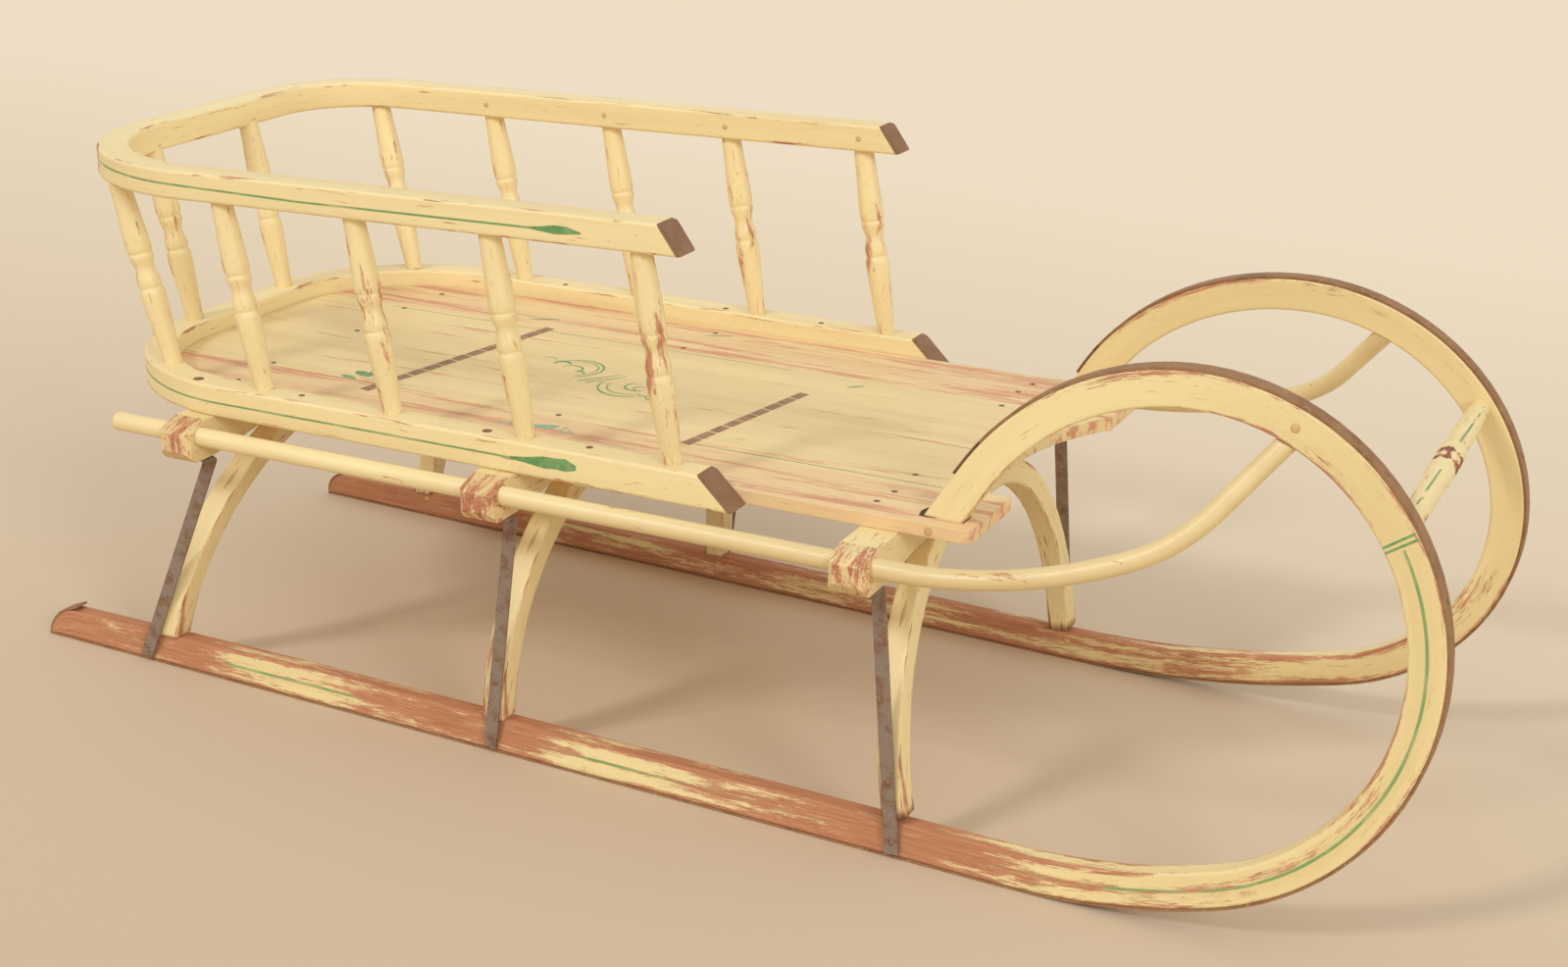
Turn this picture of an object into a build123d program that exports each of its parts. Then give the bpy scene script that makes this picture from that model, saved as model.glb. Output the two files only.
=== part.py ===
from build123d import *
from math import atan, cos, degrees, hypot, radians, sin, sqrt, tan
import os

# Runner sled of bent and turned wood, in millimetres.
# X runs forward to the scrolls, Y to the left, Z up, with the soles on Z = 0.

# Clearances
board_gap = 0.3
seat_gap = 0.2
bore_gap = 0.3
mortise_gap = 1.0

# Runners: one bent bar each, leaning inward so that the scrolls stand closer than the soles
sole_half_track = 262.0
runner_thickness = 19.5
runner_depth = 33.5
runner_lean = 8.3
rear_tip_x = -751.5
rear_taper = 4.0
rear_taper_length = 350.0
scroll_x = 505.5
scroll_radius = 242.0
scroll_lift = 26.0
return_sweep = 60.0
tail_overrun = 20.0

# Iron shoes, folded up over the rounded rear ends
shoe_thickness = 2.5
shoe_inset = 0.75
shoe_stop_sweep = 55.0
shoe_lift_angle = 112.0

# Each runner was bent by hand: name, side of Y, toe radius, what its scroll's radius and lift add
# to the common ones, radius of the return, length of the shoe's rear lip, reach of the deck's ear
# before the mortise
runner_table = (
    ("left", 1, 1060.0, -6.0, 8.5, 277.0, 4.0, 39.0),
    ("right", -1, 630.0, 5.0, -8.0, 249.0, 15.0, 19.0),
)

# Seat: the deck, both rails and the cross beams are tipped back a little
seat_pitch = 1.2
deck_top = 326.0
deck_thickness = 14.0
ear_side_reach = 28.0
deck_rear_x = -666.0
deck_rear_radius = 165.0
ear_corner_radius = 14.0
seam_y = 137.0
scoop_depth = 39.0
scoop_right_step = 22.0
scoop_left_step = 4.0
scoop_deepest_y = 25.0

# Lower rail, bent round the deck's edge
lower_rail_width = 33.0
lower_rail_height = 33.0
lower_rail_front_x = 92.0
lower_rail_rake = 46.0

# Upper rail: its right corner is wider than its left one, and it sits a little askew
upper_rail_width = 33.5
upper_rail_height = 29.5
upper_rail_spread = 0.9
upper_rail_overhang = 47.2
upper_rail_left_radius = 110.0
upper_rail_right_radius = 190.0
upper_rail_front_x = 31.3
upper_rail_rake = 34.8
upper_rail_pitch = 1.28
upper_rail_turn = 0.57
upper_rail_pivot_x = -340.0
upper_rail_rise = 196.8

# Cross beams with a faceted knob at each end
beam_width = 38.0
beam_depth = 29.0
beam_shoulder = 88.0
knob_gap = 1.7
knob_length = 42.0
knob_drop = 26.0
knob_top_slope = 32.0
knob_top_drop = 10.0
knob_bottom_chamfer = 12.0
knob_edge_chamfer = 6.0

# Bent knees
knee_thickness = 24.0
knee_depth = 27.0
knee_radius = 234.0
knee_crown_cut = 4.0
knee_crown_shift = -6.0

# Side poles: straight through the knobs, then two bends up to the scrolls, ending in a peg
pole_radius = 9.7
pole_drop = 15.0
pole_rear_x = -616.0
pole_rounding = 4.0
pole_end_angle = 68.2
pole_first_radius = 470.0
pole_first_sweep = 26.0
pole_second_radius = 165.0
pole_second_sweep = 31.0
pole_trim = 15.0
peg_radius = 4.5
peg_length = 10.0

# Iron braces from under the knobs down over knee and runner
brace_width = 14.0
brace_thickness = 3.0
brace_inset = 6.5
brace_lip = 16.0
brace_bend_radius = 6.0
brace_foot_height = 5.0
brace_standoff = 1.0

# Turned spindles
spindle_tenon_radius = 6.0
spindle_tenon_length = 10.0
spindle_overrun = 12.0
spindle_foot_inset = 3.8
corner_foot_angle = 32.6
corner_foot_inset = 5.0
back_foot_y = 82.0
back_head_y = 86.0
back_head_inset = 8.0

# Front bar between the scrolls
bar_angle = 35.7
bar_tenon_radius = 6.5
bar_tenon_length = 9.0

# Cross frames: name, beam x, foot x of the knee's right leg, brace top x, brace bottom x,
# how far the left foot and the left brace stand behind the right ones
frames = (
    ("rear", -527.0, -596.0, -514.0, -614.0, 14.0),
    ("middle", -164.0, -180.0, -151.0, -174.0, 12.0),
    ("front", 228.0, 263.0, 241.0, 272.0, 17.0),
)

# Side spindles: name, foot x, head x
side_spindles = (
    ("side_1", 18.0, -18.0),
    ("side_2", -144.0, -182.0),
    ("side_3", -299.0, -337.0),
    ("side_4", -456.0, -496.0),
)

# Heads of the corner spindles: side, angle round the upper rail's corner, distance outside its
# centre line
corner_heads = {1: (17.0, -2.0), -1: (32.5, 5.8)}

# Profile of a spindle: share of the length from the foot, radius
spindle_profile = (
    (0.0, 9.6),
    (0.34, 12.4),
    (0.40, 11.4),
    (0.415, 9.5),
    (0.44, 10.6),
    (0.475, 12.0),
    (0.51, 10.8),
    (0.545, 9.3),
    (0.57, 10.9),
    (0.585, 9.6),
    (0.61, 11.6),
    (0.68, 12.5),
    (1.0, 10.8),
)

# Profile of the front bar: share of the half length from the middle, radius
bar_profile = (
    (0.20, 13.0),
    (0.25, 11.6),
    (0.60, 11.2),
    (1.0, 9.5),
)

far = 2000.0
sides = (("left", 1), ("right", -1))
lean_slope = tan(radians(runner_lean))
shoe_depth = shoe_thickness + seat_gap
shoe_width = runner_thickness - 2 * shoe_inset
total_depth = runner_depth + shoe_depth
runner_top = total_depth * cos(radians(runner_lean))
deck_bottom = deck_top - deck_thickness
deck_half_width = sole_half_track - lean_slope * deck_top + ear_side_reach
beam_bottom = deck_bottom - beam_depth
lower_rail_y = deck_half_width + board_gap + lower_rail_width / 2
lower_rail_rear_x = deck_rear_x - board_gap - lower_rail_width / 2
lower_rail_radius = deck_rear_radius + board_gap + lower_rail_width / 2
lower_rail_top = deck_bottom + lower_rail_height
upper_rail_y = lower_rail_y + upper_rail_spread
upper_rail_rear_x = lower_rail_rear_x - upper_rail_overhang
upper_rail_underside = lower_rail_top + upper_rail_rise
knob_inner_y = lower_rail_y + lower_rail_width / 2 + knob_gap
knob_outer_y = knob_inner_y + knob_length
pole_y = knob_inner_y + knob_length / 2
pole_z = deck_bottom - pole_drop
knob_bottom = pole_z - knob_drop
heel_radius = runner_depth - rear_taper
heel_x = rear_tip_x + shoe_depth + heel_radius
parts = {}


def polar(center, radius, angle):
    return (center[0] + radius * cos(radians(angle)), center[1] + radius * sin(radians(angle)))


def arc(center, radius, start, end):
    middle = (start + end) / 2
    return ThreePointArc(
        polar(center, radius, start),
        polar(center, radius, middle),
        polar(center, radius, end),
    )


def closed_face(edges):
    return make_face(Wire(edges))


def largest(solid):
    return solid.solids().sort_by(SortBy.VOLUME)[-1]


def lean_plane(side, lean, offset_y, base_z):
    up = Vector(0, -side * sin(radians(lean)), cos(radians(lean)))
    along = Vector(1, 0, 0)
    return Plane(origin=(0, side * offset_y, base_z), x_dir=along, z_dir=along.cross(up))


def slab(face, side, thickness):
    """A flat outline set in the runner's leaning plane and given its thickness along Y."""
    placed = lean_plane(side, runner_lean, sole_half_track, 0).location * face
    return extrude(placed, amount=thickness / 2, dir=(0, 1, 0), both=True)


def level_half(height, upward):
    """All the space over or under a level plane."""
    return Pos(0, 0, height + upward * far / 2) * Box(2 * far, 2 * far, far)


def pitched(angle, pivot_x, pivot_z):
    return Pos(pivot_x, 0, pivot_z) * Rot(0, -angle, 0) * Pos(-pivot_x, 0, -pivot_z)


def point_on(location, x, y, z):
    return (location * Pos(x, y, z)).position


class Bend:
    """The arcs of one runner's outer line, in the runner's own plane."""

    def __init__(self, side, toe_radius, more_radius, more_lift, return_radius):
        self.side = side
        self.toe_radius = toe_radius
        self.radius = scroll_radius + more_radius
        self.centre_v = self.radius + scroll_lift + more_lift
        drop = toe_radius - self.centre_v
        run = sqrt((toe_radius - self.radius) ** 2 - drop**2)
        self.toe_x = scroll_x - run
        self.toe_sweep = degrees(atan(run / drop))
        self.return_radius = return_radius
        self.return_v = self.centre_v + self.radius - return_radius

    def route(self, depth, last):
        """The bent line at one depth inside the outer one, up to an angle of the return."""
        return [
            arc((self.toe_x, self.toe_radius), self.toe_radius - depth, 270, 270 + self.toe_sweep),
            arc((scroll_x, self.centre_v), self.radius - depth, self.toe_sweep - 90, 90),
            arc((scroll_x, self.return_v), self.return_radius - depth, 90, last),
        ]

    def band_point(self, depth, angle):
        """A point of the scroll at one depth, on the runner's middle plane."""
        x, v = polar((scroll_x, self.centre_v), self.radius - depth, angle)
        plane = lean_plane(self.side, runner_lean, sole_half_track, 0)
        return plane.from_local_coords((x, v, 0))

    def tail_x(self, depth):
        """Where the straight tail crosses the deck's upper face."""
        x, v = polar((scroll_x, self.return_v), self.return_radius - depth, 90 + return_sweep)
        level = deck_top / cos(radians(runner_lean))
        return x - (v - level) / tan(radians(return_sweep))


def runner_outline(bend):
    last = 90 + return_sweep
    outer = bend.route(shoe_depth, last)
    inner = bend.route(total_depth, last)
    tail_start = outer[-1] @ 1
    tail = (tail_start.Y - deck_bottom) / sin(radians(return_sweep)) + tail_overrun
    step = Vector(-tail * cos(radians(return_sweep)), -tail * sin(radians(return_sweep)))
    top = shoe_depth + heel_radius
    taper_x = rear_tip_x + rear_taper_length
    return closed_face([
        Line((heel_x - heel_radius, shoe_depth), (bend.toe_x, shoe_depth)),
        *outer,
        Line(tail_start, tail_start + step),
        Line(tail_start + step, inner[-1] @ 1 + step),
        Line(inner[-1] @ 1 + step, inner[-1] @ 1),
        *inner,
        Line((taper_x, total_depth), (bend.toe_x, total_depth)),
        Line((heel_x, top), (taper_x, total_depth)),
        arc((heel_x, shoe_depth), heel_radius, 90, 180),
    ])


def shoe_outline(bend, lip):
    last = 90 + shoe_stop_sweep
    outer = bend.route(0, last)
    inner = bend.route(shoe_thickness, last)
    lifted = polar((0, 0), lip, shoe_lift_angle - 90)
    over = arc((heel_x, shoe_depth), heel_radius + shoe_depth, 180, shoe_lift_angle)
    under = arc((heel_x, shoe_depth), heel_radius + seat_gap, 180, shoe_lift_angle)
    over_end = over @ 1 + Vector(*lifted)
    under_end = under @ 1 + Vector(*lifted)
    inner_rear_x = rear_tip_x + shoe_thickness
    return closed_face([
        Line((rear_tip_x, 0), (bend.toe_x, 0)),
        *outer,
        Line(outer[-1] @ 1, inner[-1] @ 1),
        *inner,
        Line((inner_rear_x, shoe_thickness), (bend.toe_x, shoe_thickness)),
        Line((inner_rear_x, shoe_depth), (inner_rear_x, shoe_thickness)),
        under,
        Line(under @ 1, under_end),
        Line(under_end, over_end),
        Line(over_end, over @ 1),
        over,
        Line((rear_tip_x, shoe_depth), (rear_tip_x, 0)),
    ])


seat = pitched(seat_pitch, 0, deck_top)
turn = Pos(upper_rail_pivot_x, 0, 0) * Rot(0, 0, upper_rail_turn) * Pos(-upper_rail_pivot_x, 0, 0)
top_rail = seat * pitched(upper_rail_pitch, upper_rail_pivot_x, upper_rail_underside) * turn

# Runners with their shoes; the tail ends flush with the deck's underside
tail_space = Pos(scroll_x - far / 2, 0, far / 2 + 2 * total_depth) * Box(far, far, far)
tail_cut = (seat * level_half(deck_bottom, -1)) & tail_space
bends = {}
runners = {}
mortises = {}
reaches = {}
ear_fronts = {}
for name, side, toe, more_radius, more_lift, return_radius, lip, ear_reach in runner_table:
    bend = Bend(side, toe, more_radius, more_lift, return_radius)
    outline = runner_outline(bend)
    bends[name] = bend
    runners[name] = slab(outline, side, runner_thickness) - tail_cut
    loose = offset(outline, amount=mortise_gap)
    mortises[name] = slab(loose, side, runner_thickness + 2 * mortise_gap)
    reaches[name] = slab(outline, side, 4 * runner_thickness)
    ear_fronts[name] = bend.tail_x(total_depth) + ear_reach
    parts[f"runner_shoe_{name}"] = slab(shoe_outline(bend, lip), side, shoe_width)


# Deck: three boards in one outline, the middle one scooped between two ears
def bent_outline(width, rear_x, left_radius, right_radius, left_front, right_front):
    """From the left front end round the rear to the right front end."""
    return [
        Line((left_front, width), (rear_x + left_radius, width)),
        arc((rear_x + left_radius, width - left_radius), left_radius, 90, 180),
        Line((rear_x, width - left_radius), (rear_x, right_radius - width)),
        arc((rear_x + right_radius, right_radius - width), right_radius, 180, 270),
        Line((rear_x + right_radius, -width), (right_front, -width)),
    ]


left_front = ear_fronts["left"]
right_front = ear_fronts["right"]
left_ear_x = left_front - ear_corner_radius
right_ear_x = right_front - ear_corner_radius
ear_y = deck_half_width - ear_corner_radius
right_step_x = right_front - scoop_right_step
left_step_x = left_front - scoop_left_step
deck_edges = bent_outline(
    deck_half_width, deck_rear_x, deck_rear_radius, deck_rear_radius, left_ear_x, right_ear_x
)
deck_edges += [
    arc((right_ear_x, -ear_y), ear_corner_radius, 270, 360),
    Line((right_front, -ear_y), (right_front, -seam_y)),
    Line((right_front, -seam_y), (right_step_x, -seam_y)),
    ThreePointArc(
        (right_step_x, -seam_y),
        (right_front - scoop_depth, scoop_deepest_y),
        (left_step_x, seam_y),
    ),
    Line((left_step_x, seam_y), (left_front, seam_y)),
    Line((left_front, seam_y), (left_front, ear_y)),
    arc((left_ear_x, ear_y), ear_corner_radius, 0, 90),
]
deck = Pos(0, 0, deck_bottom) * extrude(closed_face(deck_edges), amount=deck_thickness)
parts["deck_centre"] = seat * (deck & Box(far, 2 * seam_y - board_gap, far))
for name, side in sides:
    strip = Pos(0, side * (seam_y + board_gap / 2 + far / 2), 0) * Box(far, far, far)
    parts[f"deck_side_{name}"] = largest(seat * (deck & strip) - mortises[name])


# Rails: bent U shapes with raked front ends
def bent_rail(middle_y, rear_x, left_radius, right_radius, front_x, width, height, rake):
    half = width / 2
    outer = middle_y + half
    inner = middle_y - half
    edges = bent_outline(
        outer, rear_x - half, left_radius + half, right_radius + half, front_x, front_x
    )
    edges += bent_outline(
        inner, rear_x + half, left_radius - half, right_radius - half, front_x, front_x
    )
    edges += [
        Line((front_x, outer), (front_x, inner)),
        Line((front_x, -outer), (front_x, -inner)),
    ]
    rail = extrude(closed_face(edges), amount=height)
    end_cut = Pos(front_x, 0, 0) * Rot(0, -rake, 0) * Pos(far / 2, 0, 0) * Box(far, far, far)
    return rail - end_cut


lower_rail = seat * Pos(0, 0, deck_bottom) * bent_rail(
    lower_rail_y,
    lower_rail_rear_x,
    lower_rail_radius,
    lower_rail_radius,
    lower_rail_front_x,
    lower_rail_width,
    lower_rail_height,
    lower_rail_rake,
)
upper_rail = top_rail * Pos(0, 0, upper_rail_underside) * bent_rail(
    upper_rail_y,
    upper_rail_rear_x,
    upper_rail_left_radius,
    upper_rail_right_radius,
    upper_rail_front_x,
    upper_rail_width,
    upper_rail_height,
    upper_rail_rake,
)


# Turned spindles, tenoned into both rails and trimmed to their faces
def corner_place(rear_x, middle_y, radius, angle, outside):
    """A point by a rail's corner, at an angle from the side towards the rear."""
    reach = radius + outside
    return (
        rear_x + radius - reach * sin(radians(angle)),
        middle_y - radius + reach * cos(radians(angle)),
    )


upper_radii = {1: upper_rail_left_radius, -1: upper_rail_right_radius}
spindles = []
for name, side in sides:
    for row, foot_x, head_x in side_spindles:
        foot = (foot_x, lower_rail_y - spindle_foot_inset)
        spindles.append((f"{row}_{name}", side, foot, (head_x, upper_rail_y)))
    foot = corner_place(
        lower_rail_rear_x, lower_rail_y, lower_rail_radius, corner_foot_angle, -corner_foot_inset
    )
    head_angle, head_outside = corner_heads[side]
    head = corner_place(
        upper_rail_rear_x, upper_rail_y, upper_radii[side], head_angle, head_outside
    )
    spindles.append((f"corner_{name}", side, foot, head))
    back_head = (upper_rail_rear_x + back_head_inset, back_head_y)
    spindles.append((f"back_{name}", side, (lower_rail_rear_x, back_foot_y), back_head))

below_seat = seat * level_half(lower_rail_top, -1)
above_seat = top_rail * level_half(upper_rail_underside, 1)
for name, side, foot_place, head_place in spindles:
    foot = point_on(seat, foot_place[0], side * foot_place[1], lower_rail_top)
    head = point_on(top_rail, head_place[0], side * head_place[1], upper_rail_underside)
    length = (head - foot).length
    points = [(0, -spindle_overrun), (spindle_profile[0][1], -spindle_overrun)]
    points += [(radius, share * length) for share, radius in spindle_profile]
    points += [(spindle_profile[-1][1], length + spindle_overrun), (0, length + spindle_overrun)]
    turned = revolve(Plane.XZ.location * make_face(Polyline(*points, close=True)), Axis.Z)
    axis = Plane(origin=foot, z_dir=head - foot).location
    body = axis * turned - below_seat - above_seat
    reach = length + 2 * spindle_tenon_length
    middle = axis * Pos(0, 0, length / 2)
    bore = middle * Cylinder(spindle_tenon_radius + seat_gap, reach + 2 * seat_gap)
    parts[f"spindle_{name}"] = body + middle * Cylinder(spindle_tenon_radius, reach)
    lower_rail = lower_rail - bore
    upper_rail = upper_rail - bore
parts["lower_rail"] = lower_rail
parts["upper_rail"] = upper_rail

# Cross frames: a beam with knobs, a bent knee below it and one iron brace a side
knob_points = [
    (knob_inner_y - beam_shoulder, beam_bottom),
    (knob_inner_y, knob_bottom),
    (knob_outer_y - knob_bottom_chamfer, knob_bottom),
    (knob_outer_y, knob_bottom + knob_bottom_chamfer),
    (knob_outer_y, deck_bottom - knob_top_drop),
    (knob_outer_y - knob_top_slope, deck_bottom),
]
beam_face = make_face(
    Polyline(*knob_points, *[(-y, z) for y, z in reversed(knob_points)], close=True)
)
trimmed_y = knob_outer_y - knob_edge_chamfer
trimmed_x = beam_width / 2 - knob_edge_chamfer
plan_points = [
    (beam_width / 2, -trimmed_y),
    (beam_width / 2, trimmed_y),
    (trimmed_x, knob_outer_y),
    (-trimmed_x, knob_outer_y),
    (-beam_width / 2, trimmed_y),
    (-beam_width / 2, -trimmed_y),
    (-trimmed_x, -knob_outer_y),
    (trimmed_x, -knob_outer_y),
]
beam_plan = extrude(make_face(Polyline(*plan_points, close=True)), amount=far)
beam_side = Plane(origin=(0, 0, 0), x_dir=(0, 1, 0), z_dir=(1, 0, 0)).location
beam = extrude(beam_side * beam_face, amount=beam_width / 2, both=True) & beam_plan
for name, side in sides:
    bore = Rot(0, 90, 0) * Cylinder(pole_radius + bore_gap, 2 * beam_width)
    beam = beam - Pos(0, side * pole_y, pole_z) * bore

knee_y = sole_half_track - lean_slope * runner_top
knee_outer_y = knee_y + knee_depth / 2
knee_turn_y = knee_outer_y - knee_radius
inner_radius = knee_radius - knee_depth
knee_height = beam_bottom + knee_crown_cut - runner_top / 2
hoop = closed_face([
    Line((-knee_turn_y, 0), (knee_turn_y, 0)),
    arc((knee_turn_y, -knee_radius), knee_radius, 90, 0),
    Line((knee_outer_y, -knee_radius), (knee_outer_y, -knee_height)),
    Line((knee_outer_y, -knee_height), (knee_outer_y - knee_depth, -knee_height)),
    Line((knee_outer_y - knee_depth, -knee_height), (knee_outer_y - knee_depth, -knee_radius)),
    arc((knee_turn_y, -knee_radius), inner_radius, 0, 90),
    Line((knee_turn_y, -knee_depth), (-knee_turn_y, -knee_depth)),
    arc((-knee_turn_y, -knee_radius), inner_radius, 90, 180),
    Line((knee_depth - knee_outer_y, -knee_radius), (knee_depth - knee_outer_y, -knee_height)),
    Line((knee_depth - knee_outer_y, -knee_height), (-knee_outer_y, -knee_height)),
    Line((-knee_outer_y, -knee_height), (-knee_outer_y, -knee_radius)),
    arc((-knee_turn_y, -knee_radius), knee_radius, 180, 90),
])

face_y = sole_half_track + runner_thickness / 2
strap_top_y = knob_inner_y - brace_inset
strap_knee_y = knee_outer_y + brace_standoff
strap_foot_y = face_y - lean_slope * brace_foot_height + 2 * seat_gap
strap_lip_y = knob_inner_y + brace_lip
bend_outer = brace_bend_radius + brace_thickness
bearing = seat * level_half(knob_bottom - seat_gap, 1)
for frame, beam_x, foot_x, brace_top_x, brace_foot_x, set_back in frames:
    parts[f"cross_beam_{frame}"] = seat * Pos(beam_x, 0, 0) * beam

    crown_x = beam_x + knee_crown_shift
    across = Vector(-set_back, 2 * knee_y, 0)
    upright = Vector(crown_x - foot_x + set_back / 2, 0, beam_bottom - total_depth)
    knee_normal = across.cross(upright)
    knee_plane = Plane(
        origin=(crown_x, 0, beam_bottom + knee_crown_cut),
        x_dir=upright.cross(knee_normal),
        z_dir=knee_normal,
    )
    knee = extrude(knee_plane.location * hoop, amount=knee_thickness / 2, both=True)
    knee = seat * (knee - level_half(beam_bottom, 1))
    for name, side in sides:
        knee = knee - reaches[name]
    parts[f"knee_{frame}"] = largest(knee)

    for name, side in sides:
        shift = set_back if side > 0 else 0
        top = point_on(seat, brace_top_x - shift, side * knob_inner_y, knob_bottom)
        run = (brace_foot_x - shift - top.X) / (brace_foot_height - top.Z)
        skew = Plane(
            origin=(top.X, 0, top.Z),
            x_dir=(0, side, 0),
            z_dir=Vector(0, side, 0).cross(Vector(run, 0, 1)),
        )
        knee_h = (runner_top - top.Z) * hypot(1, run)
        foot_h = (brace_foot_height - top.Z) * hypot(1, run)
        bend_center = (strap_top_y + bend_outer, -bend_outer)
        strap = closed_face([
            Line((strap_lip_y, 0), (strap_top_y + bend_outer, 0)),
            arc(bend_center, bend_outer, 90, 180),
            Line((strap_top_y, -bend_outer), (strap_knee_y, knee_h)),
            Line((strap_knee_y, knee_h), (strap_foot_y, foot_h)),
            Line((strap_foot_y, foot_h), (strap_foot_y + brace_thickness, foot_h)),
            Line((strap_foot_y + brace_thickness, foot_h), (strap_knee_y + brace_thickness, knee_h)),
            Line(
                (strap_knee_y + brace_thickness, knee_h),
                (strap_top_y + brace_thickness, -bend_outer),
            ),
            arc(bend_center, brace_bend_radius, 180, 90),
            Line((strap_top_y + bend_outer, -brace_thickness), (strap_lip_y, -brace_thickness)),
            Line((strap_lip_y, -brace_thickness), (strap_lip_y, 0)),
        ])
        brace = extrude(skew.location * strap, amount=brace_width / 2, both=True)
        parts[f"brace_{frame}_{name}"] = brace - bearing

# Side poles, trimmed to the scrolls' inner edges and pegged into them
first = pole_first_sweep
rise_angle = pole_first_sweep + pole_second_sweep
for name, side in sides:
    bend = bends[name]
    end = bend.band_point(total_depth, pole_end_angle)
    goal = point_on(seat.inverse(), end.X, end.Y, end.Z)
    inward = pole_y - side * goal.Y
    pole_lean = degrees(atan(inward / (goal.Z - pole_z)))
    climb = hypot(inward, goal.Z - pole_z)
    bend_climb = pole_first_radius * (1 - cos(radians(first)))
    bend_climb += pole_second_radius * (cos(radians(first)) - cos(radians(rise_angle)))
    tail = (climb - bend_climb) / sin(radians(rise_angle))
    bend_run = (pole_first_radius - pole_second_radius) * sin(radians(first))
    bend_run += pole_second_radius * sin(radians(rise_angle)) + tail * cos(radians(rise_angle))
    start_x = goal.X - bend_run
    first_center = (start_x, pole_first_radius)
    second_center = polar(first_center, pole_first_radius - pole_second_radius, 270 + first)
    second_end = polar(second_center, pole_second_radius, 270 + rise_angle)
    path = Wire([
        Line((pole_rear_x, 0), (start_x, 0)),
        arc(first_center, pole_first_radius, 270, 270 + first),
        arc(second_center, pole_second_radius, 270 + first, 270 + rise_angle),
        Line(second_end, polar(second_end, tail + pole_trim, rise_angle)),
    ])
    path = lean_plane(side, pole_lean, pole_y, pole_z).location * path
    section = Plane(origin=path @ 0, z_dir=path % 0).location * Circle(pole_radius)
    pole = sweep(section, path)
    pole = fillet(pole.edges().sort_by(Axis.X)[0], pole_rounding)
    pole = seat * pole
    loose = slab(offset(runner_outline(bend), amount=bore_gap), side, 4 * runner_thickness)
    pole = largest(pole - loose)
    heading = point_on(seat, *(path % 1)) - point_on(seat, 0, 0, 0)
    peg_axis = Plane(origin=end, z_dir=heading).location
    peg = peg_axis * Cylinder(peg_radius, 2 * peg_length)
    socket = peg_axis * Cylinder(peg_radius + seat_gap, 2 * peg_length + 2 * seat_gap)
    parts[f"pole_{name}"] = pole + peg
    runners[name] = runners[name] - socket

# Front bar, tenoned into the middle of both scrolls
ends = {name: bends[name].band_point(total_depth / 2, bar_angle) for name, side in sides}
bar_axis = Plane(
    origin=(ends["left"] + ends["right"]) / 2, z_dir=ends["left"] - ends["right"]
).location
bar_half = (ends["left"] - ends["right"]).length / 2
half_points = [(radius, share * bar_half) for share, radius in bar_profile]
bar_points = [(0, -bar_half), *[(radius, -h) for radius, h in reversed(half_points)]]
bar_points += [*half_points, (0, bar_half)]
bar = bar_axis * revolve(Plane.XZ.location * make_face(Polyline(*bar_points, close=True)), Axis.Z)
tenon_half = bar_half - runner_thickness / 2 + bar_tenon_length
for name, side in sides:
    inner_face = lean_plane(side, runner_lean, sole_half_track - runner_thickness / 2, 0)
    beyond = extrude(inner_face.location * Rectangle(far, far), amount=far / 2, dir=(0, side, 0))
    bar = bar - beyond
    socket = bar_axis * Cylinder(bar_tenon_radius + seat_gap, 2 * tenon_half + 2 * seat_gap)
    runners[name] = runners[name] - socket
parts["front_bar"] = bar + bar_axis * Cylinder(bar_tenon_radius, 2 * tenon_half)
for name, side in sides:
    parts[f"runner_{name}"] = runners[name]

os.makedirs("parts", exist_ok=True)
for node, solid in parts.items():
    export_step(solid, f"parts/{node}.step")
    box = solid.bounding_box()
    print(node, len(solid.solids()), box.min, box.max)
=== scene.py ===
import math

import bmesh
import bpy
import numpy as np
from mathutils import Matrix, Vector
from mathutils.bvhtree import BVHTree


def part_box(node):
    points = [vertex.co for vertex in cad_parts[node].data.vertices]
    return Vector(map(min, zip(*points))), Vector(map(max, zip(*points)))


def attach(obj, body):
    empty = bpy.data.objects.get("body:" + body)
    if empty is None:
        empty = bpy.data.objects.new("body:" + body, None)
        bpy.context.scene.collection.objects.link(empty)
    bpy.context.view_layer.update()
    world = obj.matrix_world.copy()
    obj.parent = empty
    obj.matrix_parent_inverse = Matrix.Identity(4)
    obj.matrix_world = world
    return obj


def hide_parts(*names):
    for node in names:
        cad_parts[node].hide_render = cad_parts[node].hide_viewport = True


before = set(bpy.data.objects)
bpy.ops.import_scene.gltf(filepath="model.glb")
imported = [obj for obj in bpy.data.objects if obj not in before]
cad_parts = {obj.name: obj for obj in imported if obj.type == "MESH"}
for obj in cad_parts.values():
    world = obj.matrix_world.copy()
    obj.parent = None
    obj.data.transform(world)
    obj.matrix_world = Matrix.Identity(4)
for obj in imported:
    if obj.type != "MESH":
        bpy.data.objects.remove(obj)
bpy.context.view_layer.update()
mm = 0.001

# Runners
# Each is one ash bar, steamed and bent by hand into a sole, a toe and a tall scroll whose tail
# drops through the deck. Old cream oil paint has flaked off the soles and holds on the scrolls.
sole_half_track = 262.0
runner_thickness = 19.5
runner_depth = 33.5
runner_lean = math.radians(8.3)
shoe_depth = 2.7
heel_drop = 4.0
heel_radius = runner_depth - heel_drop
heel_run = 350.0
rear_x = -748.8
scroll_x = 505.5
return_sweep = 60.0
seat_pitch = math.radians(1.2)
deck_top = 326.0
deck_bottom = 312.0
tail_level = 288.0
ring_spacing = 9.0
heel_spacing = 3.0
heel_edge = 5.0
corner_ease = 2.0
tail_reach = 2.0
tail_clear = 0.3
edge_band = 2.5
edge_wear = 0.26
upper_wear = 0.16
under_wear = 0.10
sole_wear_end = 1300.0
sole_wear_fade = 200.0
no_line = 4000.0
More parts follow.
